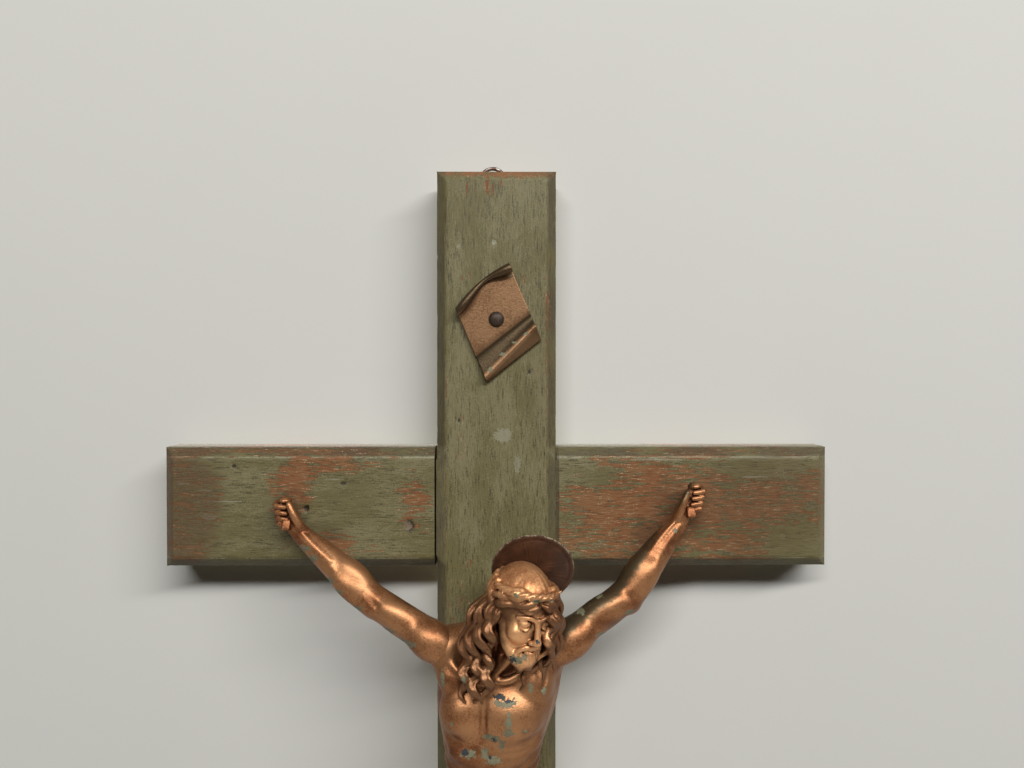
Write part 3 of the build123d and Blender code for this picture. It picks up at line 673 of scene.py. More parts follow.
# Figure's body: one casting from the neck to the feet, with its loincloth, laid flat on the boards.
# It was modelled in clay for the mould, so its forms are soft lumps and ropes run into each other.
# It is bronze-painted, and chipped to the grey metal on the chest.
class Clay:
    """Modelling clay on a grid of cells, in millimetres across, out from the boards and up."""

    empty = 9.0
    rope_step = 1.6
    smoothing = 40

    def __init__(self, low, high, cell):
        self.low = np.array(low, float)
        self.cell = cell
        cells = np.ceil((np.array(high) - low) / cell).astype(int) + 1
        self.field = np.full(cells, self.empty, np.float32)

    def room(self, low, high):
        """The cells between two corners, as slices and as places along each axis."""
        first = np.maximum(np.floor((np.array(low) - self.low) / self.cell).astype(int), 0)
        last = np.minimum(
            np.ceil((np.array(high) - self.low) / self.cell).astype(int) + 1,
            self.field.shape,
        )
        cut = tuple(slice(a, max(a, b)) for a, b in zip(first, last))
        axes = [low + self.cell * np.arange(part.start, part.stop) for low, part in zip(self.low, cut)]
        return cut, np.meshgrid(*(axis.astype(np.float32) for axis in axes), indexing="ij", sparse=True)

    def press(self, cut, form, soft, carve):
        """Joins a form to the clay, or carves it away, with a seam of that softness."""
        old = self.field[cut]
        if carve:
            share = np.clip(0.5 - 0.5 * (old + form) / soft, 0, 1)
            self.field[cut] = old * (1 - share) - form * share + soft * share * (1 - share)
        else:
            share = np.clip(0.5 + 0.5 * (old - form) / soft, 0, 1)
            self.field[cut] = old * (1 - share) + form * share - soft * share * (1 - share)

    def lump(self, middle, radii, soft, turn=np.eye(3), carve=False):
        """An egg of clay, turned by a matrix into its own axes."""
        reach = max(radii) + soft + 1
        cut, grid = self.room(np.subtract(middle, reach), np.add(middle, reach))
        away = [axis - at for axis, at in zip(grid, middle)]
        own = [sum(turn[r][c] * away[c] for c in range(3)) for r in range(3)]
        near = np.sqrt(sum((a / r) ** 2 for a, r in zip(own, radii)))
        steep = np.sqrt(sum((a / r**2) ** 2 for a, r in zip(own, radii)))
        self.press(cut, near * (near - 1) / np.maximum(steep, 1e-4), soft, carve)

    def rope(self, points, radii, soft, carve=False):
        """A round rope on a smooth curve through points, with a radius at each."""
        knots = np.array([(*point, radius) for point, radius in zip(points, radii)], float)
        knots = np.vstack((2 * knots[0] - knots[1], knots, 2 * knots[-1] - knots[-2]))
        places = []
        for a, b, c, d in zip(knots, knots[1:], knots[2:], knots[3:]):
            steps = max(2, int(np.linalg.norm(c[:3] - b[:3]) / self.rope_step))
            for t in np.linspace(0, 1, steps, endpoint=False):
                bow = 2 * a - 5 * b + 4 * c - d + t * (3 * (b - c) + d - a)
                places.append(b + t / 2 * (c - a + t * bow))
        places = np.array(places + [knots[-2]])
        pad = places[:, 3].max() + soft + 1
        cut, _ = self.room(places[:, :3].min(0) - pad, places[:, :3].max(0) + pad)
        form = np.full([s.stop - s.start for s in cut], self.empty, np.float32)
        for a, b in zip(places, places[1:]):
            inner, near = self.room(np.minimum(a, b)[:3] - pad, np.maximum(a, b)[:3] + pad)
            here = tuple(slice(i.start - c.start, i.stop - c.start) for i, c in zip(inner, cut))
            run = b - a
            away = [axis - at for axis, at in zip(near, a[:3])]
            share = np.clip(sum(w * r for w, r in zip(away, run[:3])) / max(run[:3] @ run[:3], 1e-6), 0, 1)
            far = np.sqrt(sum((w - share * r) ** 2 for w, r in zip(away, run[:3])))
            form[here] = np.minimum(form[here], far - a[3] - share * run[3])
        self.press(cut, form, soft, carve)

    def trunk(self, sections, soft):
        """A column through level ovals: height, middle across and out, half width and half depth."""
        square = 2.3
        rows = np.array(sections, float)
        low = (rows[:, 1] - rows[:, 3]).min(), (rows[:, 2] - rows[:, 4]).min(), rows[:, 0].min()
        high = (rows[:, 1] + rows[:, 3]).max(), (rows[:, 2] + rows[:, 4]).max(), rows[:, 0].max()
        cut, (x, out, z) = self.room(np.array(low) - soft - 1, np.array(high) + soft + 1)
        heights = z.ravel()
        at = np.empty((4, len(heights)))
        order = np.argsort(rows[:, 0])
        for k in range(4):
            fine = np.interp(heights, rows[order, 0], rows[order, k + 1])
            for _ in range(self.smoothing):
                fine[1:-1] = (fine[:-2] + 2 * fine[1:-1] + fine[2:]) / 4
            at[k] = fine
        middle_x, middle_out, wide, deep = (row.reshape(1, 1, -1) for row in at)
        across = np.abs((x - middle_x) / wide) ** square
        depth = np.abs((out - middle_out) / deep) ** square
        near = (across + depth) ** (1 / square)
        form = (near - 1) * np.minimum(wide, deep)
        form = np.maximum(form, np.maximum(z - rows[:, 0].max(), rows[:, 0].min() - z))
        self.press(cut, form.astype(np.float32), soft, False)

    def cast(self, name, flat=0.05):
        """The clay's skin as a piece, flat where it lies on the boards."""
        out = self.low[1] + self.cell * np.arange(self.field.shape[1])
        self.field = np.maximum(self.field, (flat - out).reshape(1, -1, 1).astype(np.float32))
        grid = openvdb.FloatGrid(self.empty)
        grid.copyFromArray(self.field)
        points, quads = grid.convertToQuads(0.0)
        points = points * self.cell + self.low
        points[:, 1] = board_front - points[:, 1]
        mesh = bpy.data.meshes.new(name)
        mesh.from_pydata((points * mm).tolist(), [], quads.tolist())
        return mended(name, mesh, sharp=180)


def tilted(angle):
    """The turn of a lump whose long way leans by that angle as seen from the front."""
    a = radians(angle)
    return np.array(((cos(a), 0, sin(a)), (0, 1, 0), (-sin(a), 0, cos(a))))


body = Clay(low=(-30, -1.5, -295), high=(31, 41.5, -37), cell=0.66)
torso_sections = (
    (-46, 3.4, 19.0, 10.5, 6.5), (-52, 2.9, 19.0, 16.5, 8.4), (-58, 2.6, 19.3, 21.0, 10.2),
    (-66, 2.9, 19.4, 24.0, 12.0), (-76, 1.9, 20.0, 24.0, 13.2), (-88, 0.0, 20.0, 22.6, 13.8),
    (-101, -1.6, 18.8, 20.0, 12.8), (-118, -2.0, 16.8, 18.2, 11.6), (-135, -1.0, 15.0, 19.4, 12.8),
    (-151, 0.0, 14.4, 20.0, 13.8), (-162, 0.5, 15.0, 17.5, 12.5),
)
body.trunk(torso_sections, soft=2.0)
# Neck, throat and the muscles that run from it to the shoulders
body.rope(((-1.5, 20, -68), (2, 23.5, -58), (6.3, 29.5, -48), (8.8, 33, -40)), (8.8, 7.6, 7.2, 7.5), 3)
body.rope(
    ((-4.8, 31.0, -65.6), (-3.6, 32.3, -57), (-1.6, 33, -48), (-1.5, 31, -42)),
    (1.8, 2.1, 2.3, 2.4),
    1.6,
)
body.rope(((-1.8, 31.8, -65.4), (5, 35.0, -57), (12, 36, -49)), (1.7, 2.0, 2.3), 1.6)
body.lump((2.2, 33.2, -57.5), (1.7, 1.6, 2.4), 1.5)
for points in (
    ((-3, 17, -50), (-12, 17.5, -53.5), (-20, 18.5, -56)),
    ((10, 17, -49), (17, 17.5, -52.5), (22.5, 18.5, -55)),
):
    body.rope(points, (6.4, 7.0, 7.6), 3)
for x, z in ((-21.5, -58), (23.5, -57)):
    body.lump((x, 20, z), (8, 9, 9.5), 4)
# Chest: breast muscles, breastbone, collarbones and the pit of the neck
body.lump((-13.2, 27.8, -81.0), (10.4, 8.0, 10.4), 4.0, tilted(-14))
body.lump((6.4, 29.0, -82.5), (12.6, 8.0, 10.8), 4.0, tilted(12))
body.lump((15.5, 26.5, -69), (8.5, 6.5, 7.5), 3.0, tilted(-40))
body.lump((-18.0, 25.0, -68), (6.5, 6.5, 8.0), 3.0, tilted(35))
body.rope(
    ((-4.4, 33.4, -71), (-4.8, 34.4, -78), (-5.0, 34.4, -86), (-4.8, 34.0, -94), (-4.4, 32.4, -101)),
    (0.5, 1.0, 1.1, 1.0, 0.6),
    1.8,
    carve=True,
)
body.rope(((-22, 28, -90), (-14, 35.4, -94.2), (-6.5, 36.6, -92.6)), (0.8, 1.0, 0.7), 3.4, carve=True)
body.rope(((18.5, 30.0, -91.4), (8, 36.8, -95.6), (-4.5, 37.2, -93.2)), (0.8, 1.0, 0.7), 3.4, carve=True)
for middle in ((-17.8, 33.0, -83.4), (12.3, 35.6, -85.8)):
    body.lump(middle, (1.1, 0.8, 1.1), 0.8)
body.rope(
    ((-5.4, 31.4, -66.6), (-12, 31.2, -65), (-19, 27.6, -60.5), (-23, 24, -56.5)),
    (1.5, 1.6, 1.6, 1.4),
    1.5,
)
body.rope(
    ((-2.4, 32, -66.4), (5, 33.6, -66.0), (12.5, 32.2, -62.4), (21, 27.2, -58.5), (25, 24.5, -56)),
    (1.5, 1.8, 1.7, 1.6, 1.4),
    1.5,
)
body.lump((-11, 31, -59.5), (5, 3.6, 3.2), 3, carve=True)
body.lump((12, 32, -57.6), (5.5, 3.6, 3.0), 3, carve=True)
body.lump((-3.4, 34.0, -64.4), (1.9, 2.4, 2.2), 2, carve=True)
body.rope(((25.5, 27, -57), (22.4, 30, -64), (19.4, 32, -70.5)), (0.5, 0.6, 0.4), 1.6, carve=True)
# Flanks and ribs
for points in (
    ((-20.4, 17, -66), (-20.8, 15, -84), (-18, 13, -104)),
    ((24.0, 17, -66), (21.2, 15, -82), (16.4, 13.5, -100)),
):
    body.rope(points, (4.4, 4.6, 3.6), 3.5)
body.lump((-11.4, 27.8, -99.0), (8.2, 4.4, 4.6), 3.0, tilted(-12))
body.lump((3.2, 28.6, -101.0), (10.0, 4.4, 4.6), 3.0, tilted(10))
for i in range(4):
    drop = 6.4 * i
    left_rib = (
        (-21.6 + 0.5 * i, 20, -91 - drop),
        (-18.6 + 0.4 * i, 26.6 - 0.9 * i, -95 - drop),
        (-13, 29.6 - 1.4 * i, -98 - drop),
    )
    right_rib = (
        (19.6 - 0.9 * i, 20, -92 - drop),
        (15.8 - 0.9 * i, 27.0 - 0.9 * i, -96.5 - drop),
        (9.6, 30 - 1.4 * i, -99.5 - drop),
    )
    for rib in (left_rib, right_rib):
        body.rope(rib, (1.2, 1.4, 0.8), 2.0)
# Belly: three rows of muscle, the navel and the lower belly
for z, out, left, right in (
    (-109.5, 27.0, -8.4, -1.0), (-116.8, 25.8, -8.0, -0.6), (-123.8, 24.6, -7.4, 0.0),
):
    for x in (left, right):
        body.lump((x, out, z), (4.1, 3.1, 4.1), 1.6)
body.lump((-3.8, 28.9, -126.5), (1.0, 1.8, 1.2), 1.0, carve=True)
body.lump((-2.2, 21.0, -131), (11.5, 6, 8), 4)
for x in (-16.5, 13.5):
    body.lump((x, 18.5, -121), (5, 7.5, 9), 4)
# Legs: bent at the knee, the left foot laid over the right
for side, knee, calf, ankle in (
    (1, (7.9, 25.6, -203), (7.2, 19.3, -226), (3.0, 8.0, -262)),
    (-1, (-7.8, 26.6, -205), (-6.8, 20.3, -228), (-1.4, 12.6, -262)),
):
    body.rope(((side * 9.5, 14.4, -152), (side * 9.6, 19, -177), knee), (10.6, 10.2, 7.4), 2)
    body.rope((knee, calf, ankle), (7.2, 6.6, 3.7), 2.5)
    body.lump((knee[0], knee[1] + 5.6, knee[2]), (4.0, 2.9, 4.6), 2)
    body.lump((knee[0] + side * 3.2, knee[1] + 0.5, knee[2] + 17), (4.8, 5.0, 12), 4)
    body.lump((knee[0] - side * 2.8, knee[1] + 1.5, knee[2] + 11), (4.0, 4.2, 8), 3)
    body.lump((calf[0] + side * 2.2, calf[1] - 4.0, calf[2] + 2), (5.2, 5.6, 12), 3)
    shin = (
        (knee[0], knee[1] + 5.2, knee[2] - 8),
        (calf[0], calf[1] + 5.6, calf[2] - 2),
        (ankle[0], ankle[1] + 2.6, ankle[2] + 4),
    )
    body.rope(shin, (1.4, 1.5, 1.2), 2.2)
    for ankle_side in (-1, 1):
        body.lump((ankle[0] + ankle_side * 3.6, ankle[1] - 0.6, ankle[2] - 2), (1.6, 2.0, 2.2), 1.6)
    foot = ankle[1]
    sole = ((ankle[0], foot, -262), (ankle[0] * 0.7, foot - 0.6, -272), (ankle[0] * 0.6, foot - 2.6, -282))
    body.rope(sole, (4.1, 4.2, 2.6), 2)
    body.lump((ankle[0] * 0.6, foot - 2.8, -281), (5.2, 2.7, 5.6), 1.5)
    body.lump((ankle[0] + side * 1.0, max(foot - 5.5, 2.6), -267), (3.6, 4.0, 4.6), 2.5)
    toes = ((1.65, -291.0), (1.15, -291.4), (1.1, -290.6), (1.05, -289.6), (1.0, -288.2))
    for i, (thick, tip) in enumerate(toes):
        toe = ankle[0] * 0.6 + side * (2.3 * i - 4.0 - (0.5 if i == 0 else 0))
        bent = ((toe * 0.9, foot - 3.4, -282.5), (toe, foot - 2.6, -286.6), (toe, foot - 4.6, tip))
        body.rope(bent, (thick, thick, thick * 0.9), 0.25)
# Loincloth: wound round the hips and knotted at the right, with one end hanging
cloth_sections = (
    (-127, 0, 15.0, 19.6, 13.4), (-133, 0, 15.4, 21.2, 14.4), (-145, 0, 16.2, 22.0, 15.4),
    (-158, 0, 17.5, 22.1, 15.6), (-168, 0, 18.5, 21.2, 15.0), (-174.5, 0, 19.0, 20.2, 14.0),
)
body.trunk(cloth_sections, soft=0.8)
waist = []
for a in np.linspace(-0.5, pi + 0.5, 15):
    waist.append((20.2 * cos(a), 15.2 + 13.9 * sin(a), -129.5 - 2.2 * cos(a)))
body.rope(waist, (1.7,) * len(waist), 0.6)
hips = [(x * 1.02, out + 0.7, z - 3.4 - 0.08 * (20 - x)) for x, out, z in waist]
body.rope(hips, (1.5,) * len(hips), 0.8)
for i in range(7):
    fall = 4.6 * i
    fold = (
        (19.5, 24.5, -136 - 1.6 * i),
        (9, 30.6, -138.5 - 0.72 * fall),
        (-5, 31.4, -141.5 - 0.98 * fall),
        (-17, 26.4, -141 - 1.1 * fall),
        (-21.5, 18, -139 - 1.15 * fall),
    )
    body.rope(fold, (1.3, 1.8, 1.9, 1.6, 1.2), 1.1)
for i in range(4):
    pleat = ((18.5, 24, -146 - 4 * i), (12, 29.6, -152 - 4.6 * i), (5, 31.4, -161 - 3.4 * i))
    body.rope(pleat, (1.5, 1.6, 1.0), 1.1)
body.rope(
    (
        (-21, 19, -172), (-14, 29, -175), (-3, 33, -172.5), (8, 32.5, -174.5), (16, 28, -173),
        (20.5, 19, -171.5),
    ),
    (1.4, 1.6, 1.5, 1.6, 1.5, 1.3),
    0.9,
)
body.lump((20.6, 20.5, -135.5), (4.0, 5.0, 4.2), 1.0)
body.lump((22.6, 23.5, -132.4), (2.6, 3.4, 2.6), 0.8)
body.rope(((19.5, 25.4, -133), (22, 24, -138.5), (23.4, 19, -139.5)), (1.3, 1.5, 1.3), 0.7)
for x, out, length, radius in (
    (20.8, 19.5, 41, 2.6), (24.0, 16.8, 38, 2.3), (20.4, 23.6, 36, 2.1), (23.2, 21.2, 43, 2.0),
    (25.2, 19.4, 34, 1.6),
):
    hanging = ((x, out, -137), (x + 0.9, out + 0.9, -137 - length * 0.5), (x + 0.2, out, -137 - length))
    body.rope(hanging, (radius * 0.8, radius, radius * 0.9), 0.9)

chest_chips = (
    (4.0, -74.8, 5.4, 1.9), (5.5, -81.3, 1.6, 3.0), (5.6, -86.2, 2.4, 2.2), (-1.4, -89.6, 4.2, 2.0),
    (2.6, -92.8, 1.8, 3.4), (-4.4, -96.8, 1.6, 3.2), (-1.0, -99.6, 3.6, 1.9), (-11.2, -97.4, 3.4, 1.9),
    (14.6, -69.2, 1.2, 2.2), (12.2, -86.2, 1.1, 1.1), (-18.0, -83.6, 1.1, 1.1), (-22.2, -66.8, 1.0, 4.5),
    (20.0, -71.4, 1.2, 2.0), (-7, -205, 3, 4), (8, -226, 2, 7), (10, -150, 4, 6), (-13, -166, 5, 3),
    (-2.4, -279, 1.6, 2.4), (-10, -183, 3, 5), (3, -118, 2, 3),
)
chest_dark_chips = (
    (1.8, -72.8, 2.8, 1.2), (5.2, -74.0, 2.0, 0.8), (-0.6, -90.4, 1.2, 1.4), (-12.6, -96.8, 1.7, 1.4),
    (-2.2, -98.4, 0.7, 0.8),
)
body_shade_red = (0.092, 0.026, 0.009)


def body_shade(place):
    """Red-brown painted shade on the flanks and from below the breast downwards."""
    rough = cloud(place, (7, 7, 7), 4, 0.6).swing(16)
    low = step(place[2] + rough, -86, -108)
    flank = step(abs(place[0] + 1.5) + rough * 0.5, 10, 24)
    return low * 0.45 + flank * 0.30


torso = body.cast("figure_torso")
# The body's paint turns red-brown below the breast and on the flanks: painted shade.
body_paint = bronze_paint("body_paint", chest_chips, chest_dark_chips, soot_and_shade=(body_shade, body_shade_red))
torso.data.materials.append(body_paint)
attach(torso, "cross")

# Figure's head: cast with the body, bowed and turned to the right.
# It has long wavy hair, a short forked beard and a crown of thorns.
# The face is a plain calm one on a sculptor's usual proportions, with lowered lids.
head_middle = (11.0, 37, -36)
head_pose = Matrix.Identity(3)
for degrees, axis in ((10, "X"), (12, "Y"), (28, "Z")):
    head_pose = head_pose @ Matrix.Rotation(radians(degrees), 3, axis)
head_axes = np.array(head_pose.transposed()) @ np.diag((1, -1, 1))
skull_middle = (0, -1.7, 5.3)
skull_radii = (11.2, 13.6, 13.4)


def on_head(x, front, z):
    """A place in the head's own axes, across, to the front and up, as one in the clay's."""
    turned_place = head_pose @ Vector((x, -front, z))
    return head_middle[0] + turned_place.x, head_middle[1] - turned_place.y, head_middle[2] + turned_place.z


def on_scalp(side, round_angle, down_angle, lift):
    """A place on the scalp: round from the brow, down from the crown, and its lift off the skin."""
    a, d = radians(round_angle), radians(down_angle)
    wide, deep, tall = (radius + lift for radius in skull_radii)
    return on_head(
        side * sin(d) * sin(a) * wide,
        skull_middle[1] + sin(d) * cos(a) * deep,
        skull_middle[2] + cos(d) * tall,
    )


head = Clay(low=(-20, 17, -82), high=(31, 59.5, -13), cell=0.345)


def egg(x, front, z, radii, soft, carve=False):
    """A lump on the head, in the head's own axes."""
    head.lump(on_head(x, front, z), radii, soft, head_axes, carve)


def line(points, radii, soft, carve=False, side=1):
    """A rope on the head, through places in the head's own axes, mirrored where the side is -1."""
    head.rope([on_head(side * x, front, z) for x, front, z in points], radii, soft, carve)


egg(*skull_middle, skull_radii, 1)
egg(0, 2.6, -6.2, (8.5, 9.6, 11.6), 3)
head.rope(((4.5, 27, -52), (7.6, 31.5, -44), on_head(0, -3, -4)), (7.0, 7.2, 7.6), 2)
for side in (-1, 1):
    egg(side * 6.1, 7.8, -4.4, (3.4, 3.3, 3.6), 3)
    egg(side * 4.5, 13.0, 0.1, (3.2, 2.6, 2.2), 1.8, carve=True)
    egg(side * 4.4, 9.5, 0.2, (2.5, 2.4, 2.1), 0.4)
    egg(side * 4.4, 9.8, 0.7, (2.8, 2.5, 1.8), 0.4)
    line(((2.3, 11.1, -0.6), (4.4, 11.9, -1.7), (6.6, 10.2, -0.8)), (0.4, 0.55, 0.4), 0.5, side=side)
    lashes = ((2.3, 11.9, -0.4), (4.4, 12.5, -1.0), (6.5, 10.9, -0.4))
    line(lashes, (0.2, 0.28, 0.2), 0.3, carve=True, side=side)
    line(((1.5, 12.5, 2.6), (4.4, 12.0, 3.9), (7.8, 9.0, 2.6)), (0.8, 0.9, 0.7), 1.6, side=side)
    egg(side * 1.75, 13.4, -6.3, (1.15, 1.5, 1.0), 0.7)
    egg(side * 0.95, 14.5, -7.2, (0.5, 0.8, 0.4), 0.3, carve=True)
line(((0, 12.3, 2.2), (0, 13.7, -2), (0, 15.1, -5.4)), (1.1, 1.2, 1.45), 1.3)
egg(0, 15.1, -5.8, (1.6, 1.5, 1.3), 0.8)
# Mouth, moustache and beard
line(((-2.7, 11.9, -10.3), (0, 12.9, -9.7), (2.7, 11.9, -10.3)), (0.5, 0.75, 0.5), 0.5)
line(((-2.3, 11.8, -11.3), (0, 12.6, -11.7), (2.3, 11.8, -11.3)), (0.55, 0.85, 0.55), 0.5)
line(((-3, 12.2, -10.7), (0, 13.4, -10.75), (3, 12.2, -10.7)), (0.18, 0.25, 0.18), 0.3, carve=True)
egg(0, 9.2, -15.6, (4.6, 4.2, 4.4), 1.5)
for side in (-1, 1):
    line(
        ((0.5, 13.0, -8.3), (2.6, 12.4, -8.9), (4.6, 10.8, -10.8), (5.2, 9.4, -13.6)),
        (0.7, 1.1, 1.0, 0.7),
        0.6,
        side=side,
    )
    line(
        ((9.0, 0.5, -3), (7.8, 4.5, -10), (4.6, 8.4, -15.5), (1.5, 9.6, -19.6)),
        (1.6, 2.3, 2.4, 1.4),
        1.5,
        side=side,
    )
    line(((1.3, 10.4, -16.5), (1.9, 10.2, -19.5), (1.6, 9.2, -22.0)), (1.9, 1.5, 0.8), 0.7, side=side)
    for i in range(6):
        x = side * (0.7 + 1.35 * i)
        front = 12.5 - 0.10 * (x * x) - 0.25 * i
        strand = (
            (x, front, -13.4 + 0.7 * i),
            (x * 0.95 + 0.4 * side, front + 0.3, -15.8 + 0.6 * i),
            (x * 0.7, front - 1.6, -19.0 + 0.9 * i),
        )
        line(strand, (0.5, 0.85, 0.5), 0.7)
# Hair: a cap parted in the middle, waves drawn back from the brow, and long curling locks on the shoulders
egg(0, -4.6, 4.4, (12.5, 12.4, 14.4), 1.5)
for side in (-1, 1):
    for i, start in enumerate((14, 40, 66, 92, 118, 144, 170)):
        wave = 5 * sin(1.7 * i)
        combed = [on_scalp(side, start, 8 + 2 * i, -0.9)]
        for down in (24, 40, 56, 72):
            round_angle = start + 0.10 * (90 - start) * down / 72 + wave * sin(down * 0.09)
            combed.append(on_scalp(side, round_angle, down, -0.7))
        head.rope(combed, (0.1, 0.2, 0.3, 0.45, 0.6), 1.4)
    for i, rise in enumerate((61, 66, 71.5, 77)):
        waves = []
        for k, round_angle in enumerate((0, 11, 22, 34, 46, 58, 70, 82, 96)):
            down = rise + (0.02 + 0.05 * i) * round_angle + 3.4 * sin(1.25 * k + 1.6 * i)
            waves.append(on_scalp(side, round_angle, down, 0.5 + 1.1 * sin(1.25 * k + 1.6 * i + 1.4)))
        head.rope(waves, (0.5, 1.3, 1.7, 1.4, 1.7, 1.5, 1.8, 1.7, 1.3), 0.4)
    for start in (104, 122, 140, 158, 176):
        back_hair = []
        for down in (66, 84, 102, 120, 140):
            back_hair.append(on_scalp(side, start + 7 * sin(down * 0.1), down, 1.6))
        head.rope(back_hair, (1.4, 2.0, 2.1, 2.0, 1.4), 0.8)


def tress(root, bend, tip, phase, swing, thick):
    """A curling lock from its root past a bend to its tip, with two finer strands wound on it."""
    shares = np.linspace(0, 1, 15)
    curl = phase + 4.4 * pi * shares ** 0.85
    taper = np.sin(pi * np.clip(0.2 + 0.78 * shares, 0, 1)) ** 0.6
    lock = []
    for t, c in zip(shares, curl):
        place = (1 - t) ** 2 * np.array(root) + 2 * t * (1 - t) * np.array(bend) + t * t * np.array(tip)
        lock.append(place + swing * min(1, 3 * t) * np.array((sin(c), 0.8 * cos(c), 0)))
    head.rope(lock, 0.25 + thick * taper, 0.35)
    for k in (0, 1):
        wound = []
        for t, w, place in zip(shares, taper, lock):
            away = np.array((cos(2.2 * k + 4 * t + phase), 0.9, 0.2 * sin(3 * t)))
            wound.append(place + 0.85 * thick * w * away)
        head.rope(wound, 0.15 + 0.42 * thick * taper, 0.25)


for lock in (
    ((0.6, 36, -27), (-19, 33, -44), (-9.0, 33.5, -60), 0.4, 1.5, 2.2),
    ((0.8, 38.5, -28.5), (-15, 37, -43), (-5.6, 35.5, -60), 1.6, 1.7, 2.3),
    ((1.4, 40.5, -30.5), (-9.5, 39.5, -43), (-3.2, 38.0, -58), 2.9, 1.8, 2.2),
    ((2.0, 42, -33), (-5.0, 42, -42), (-0.6, 40.0, -53), 4.1, 1.4, 1.9),
    ((-9.6, 34.5, -55), (-13.6, 36.0, -63), (-12.6, 34.6, -74), 5.2, 1.5, 1.9),
    ((-6.0, 36.5, -54), (-8.4, 39.0, -64), (-8.6, 36.6, -74), 2.0, 1.8, 2.1),
    ((-3.6, 38.0, -53), (-2.0, 41.0, -62), (-4.4, 38.0, -73), 4.4, 1.6, 2.0),
    ((0.0, 33, -30), (-13, 30, -44), (-8.0, 31.5, -62), 0.9, 1.2, 2.6),
    ((0.8, 35, -32), (-7.5, 33, -46), (-4.0, 34, -60), 3.0, 1.2, 2.6),
    ((23.6, 40, -27.5), (27.0, 38.5, -38), (22.5, 37.6, -60), 0.2, 1.7, 1.9),
    ((22.8, 42.4, -30), (25.6, 41.5, -40), (19.8, 39.2, -58), 1.7, 1.8, 1.9),
    ((21.8, 44.0, -34), (23.8, 43.5, -42), (17.8, 40.2, -56), 3.2, 1.8, 1.8),
    ((23.8, 36.5, -28), (27.2, 34.5, -42), (21.0, 36.0, -64), 4.2, 1.5, 2.3),
    ((23.0, 33.5, -31), (25.8, 32.0, -44), (18.5, 35.0, -61), 5.4, 1.5, 2.3),
    ((14.5, 38.0, -55), (12.5, 38.5, -61), (10.4, 36.4, -69), 2.2, 0.7, 1.0),
):
    tress(*lock)
# Crown of thorns: three stems twisted into a ring
crown_middle = -1.4
crown_height = 10.5
crown_lean = 2.0
crown_wide = 11.6
crown_deep = 13.2
thorns = 18
thorn_root = 0.8
thorn_tip = 2.4
for k in range(3):
    stem = []
    for a in np.linspace(0, 2 * pi, 73):
        twist = 8 * a + k * 2 * pi / 3
        wide = 1.03 + 0.06 * cos(twist)
        rise = crown_height + crown_lean * cos(a) + 0.8 * sin(twist)
        stem.append(on_head(crown_wide * wide * sin(a), crown_middle + crown_deep * wide * cos(a), rise))
    head.rope(stem, (0.85,) * len(stem), 0.35)


def on_crown(angle, stand, rise):
    """A place round the crown of thorns, standing off the ring's middle line, at that height."""
    across = (crown_wide + stand) * sin(angle)
    front = crown_middle + (crown_deep + stand) * cos(angle)
    return on_head(across, front, rise)


for k in range(thorns):
    a = k * 2 * pi / thorns + 0.35 * sin(3.7 * k)
    rise = crown_height + crown_lean * cos(a)
    root = on_crown(a, thorn_root, rise)
    lean = 1.9 * sin(2.3 * k + 0.6)
    tip = on_crown(a + 0.07, thorn_tip, rise + lean)
    head.rope((root, tip), (0.75, 0.25), 0.4)
# The back of the head is flat where the halo is pinned to it
halo_tilt = radians(24)
halo_middle = (15.8, 26, -21.9)
grid_out = (head.low[1] + head.cell * np.arange(head.field.shape[1])).reshape(1, -1, 1)
grid_up = (head.low[2] + head.cell * np.arange(head.field.shape[2])).reshape(1, 1, -1)
behind = (halo_middle[1] - grid_out) * cos(halo_tilt) + (grid_up - halo_middle[2]) * sin(halo_tilt)
head.field = np.maximum(head.field, (behind + 0.05).astype(np.float32))


def hair_darkening(place):
    """Darker in the hair, all round the face and below the crown of thorns."""
    rim = cloud(place, (3, 3, 3), 3).swing(0.8)
    face = patch(place[0], place[2], (12.5, -45, 10.5, 14), rim)
    return (1.0 - face) * step(place[2], -24, -31) * 0.80


# The head is painted in lighter tones than the body, and its shade setting makes it lighter still: painted
# light on the bowed face.
face_painted_light_tones = ((0.410, 0.160, 0.062), (0.690, 0.358, 0.170))
head_piece = head.cast("figure_head", flat=17.6)
head_chips = (
    (8.6, -52.6, 3.0, 2.0), (11.8, -51.6, 1.1, 1.6), (8.4, -25.6, 1.2, 1.0), (16.6, -27.6, 1.9, 1.2),
    (22.0, -28.6, 1.4, 0.6), (-12.8, -64, 0.9, 2.4),
)
head_dark_chips = ((7.2, -52.6, 1.7, 1.3), (16.8, -44.2, 0.9, 0.9))
head_paint = bronze_paint(
    "head_paint",
    head_chips,
    head_dark_chips,
    shade=-0.10,
    tones=face_painted_light_tones,
    soot_and_shade=(hair_darkening, bronze_deep),
)
head_piece.data.materials.append(head_paint)
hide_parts("figure_body")
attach(head_piece, "cross")

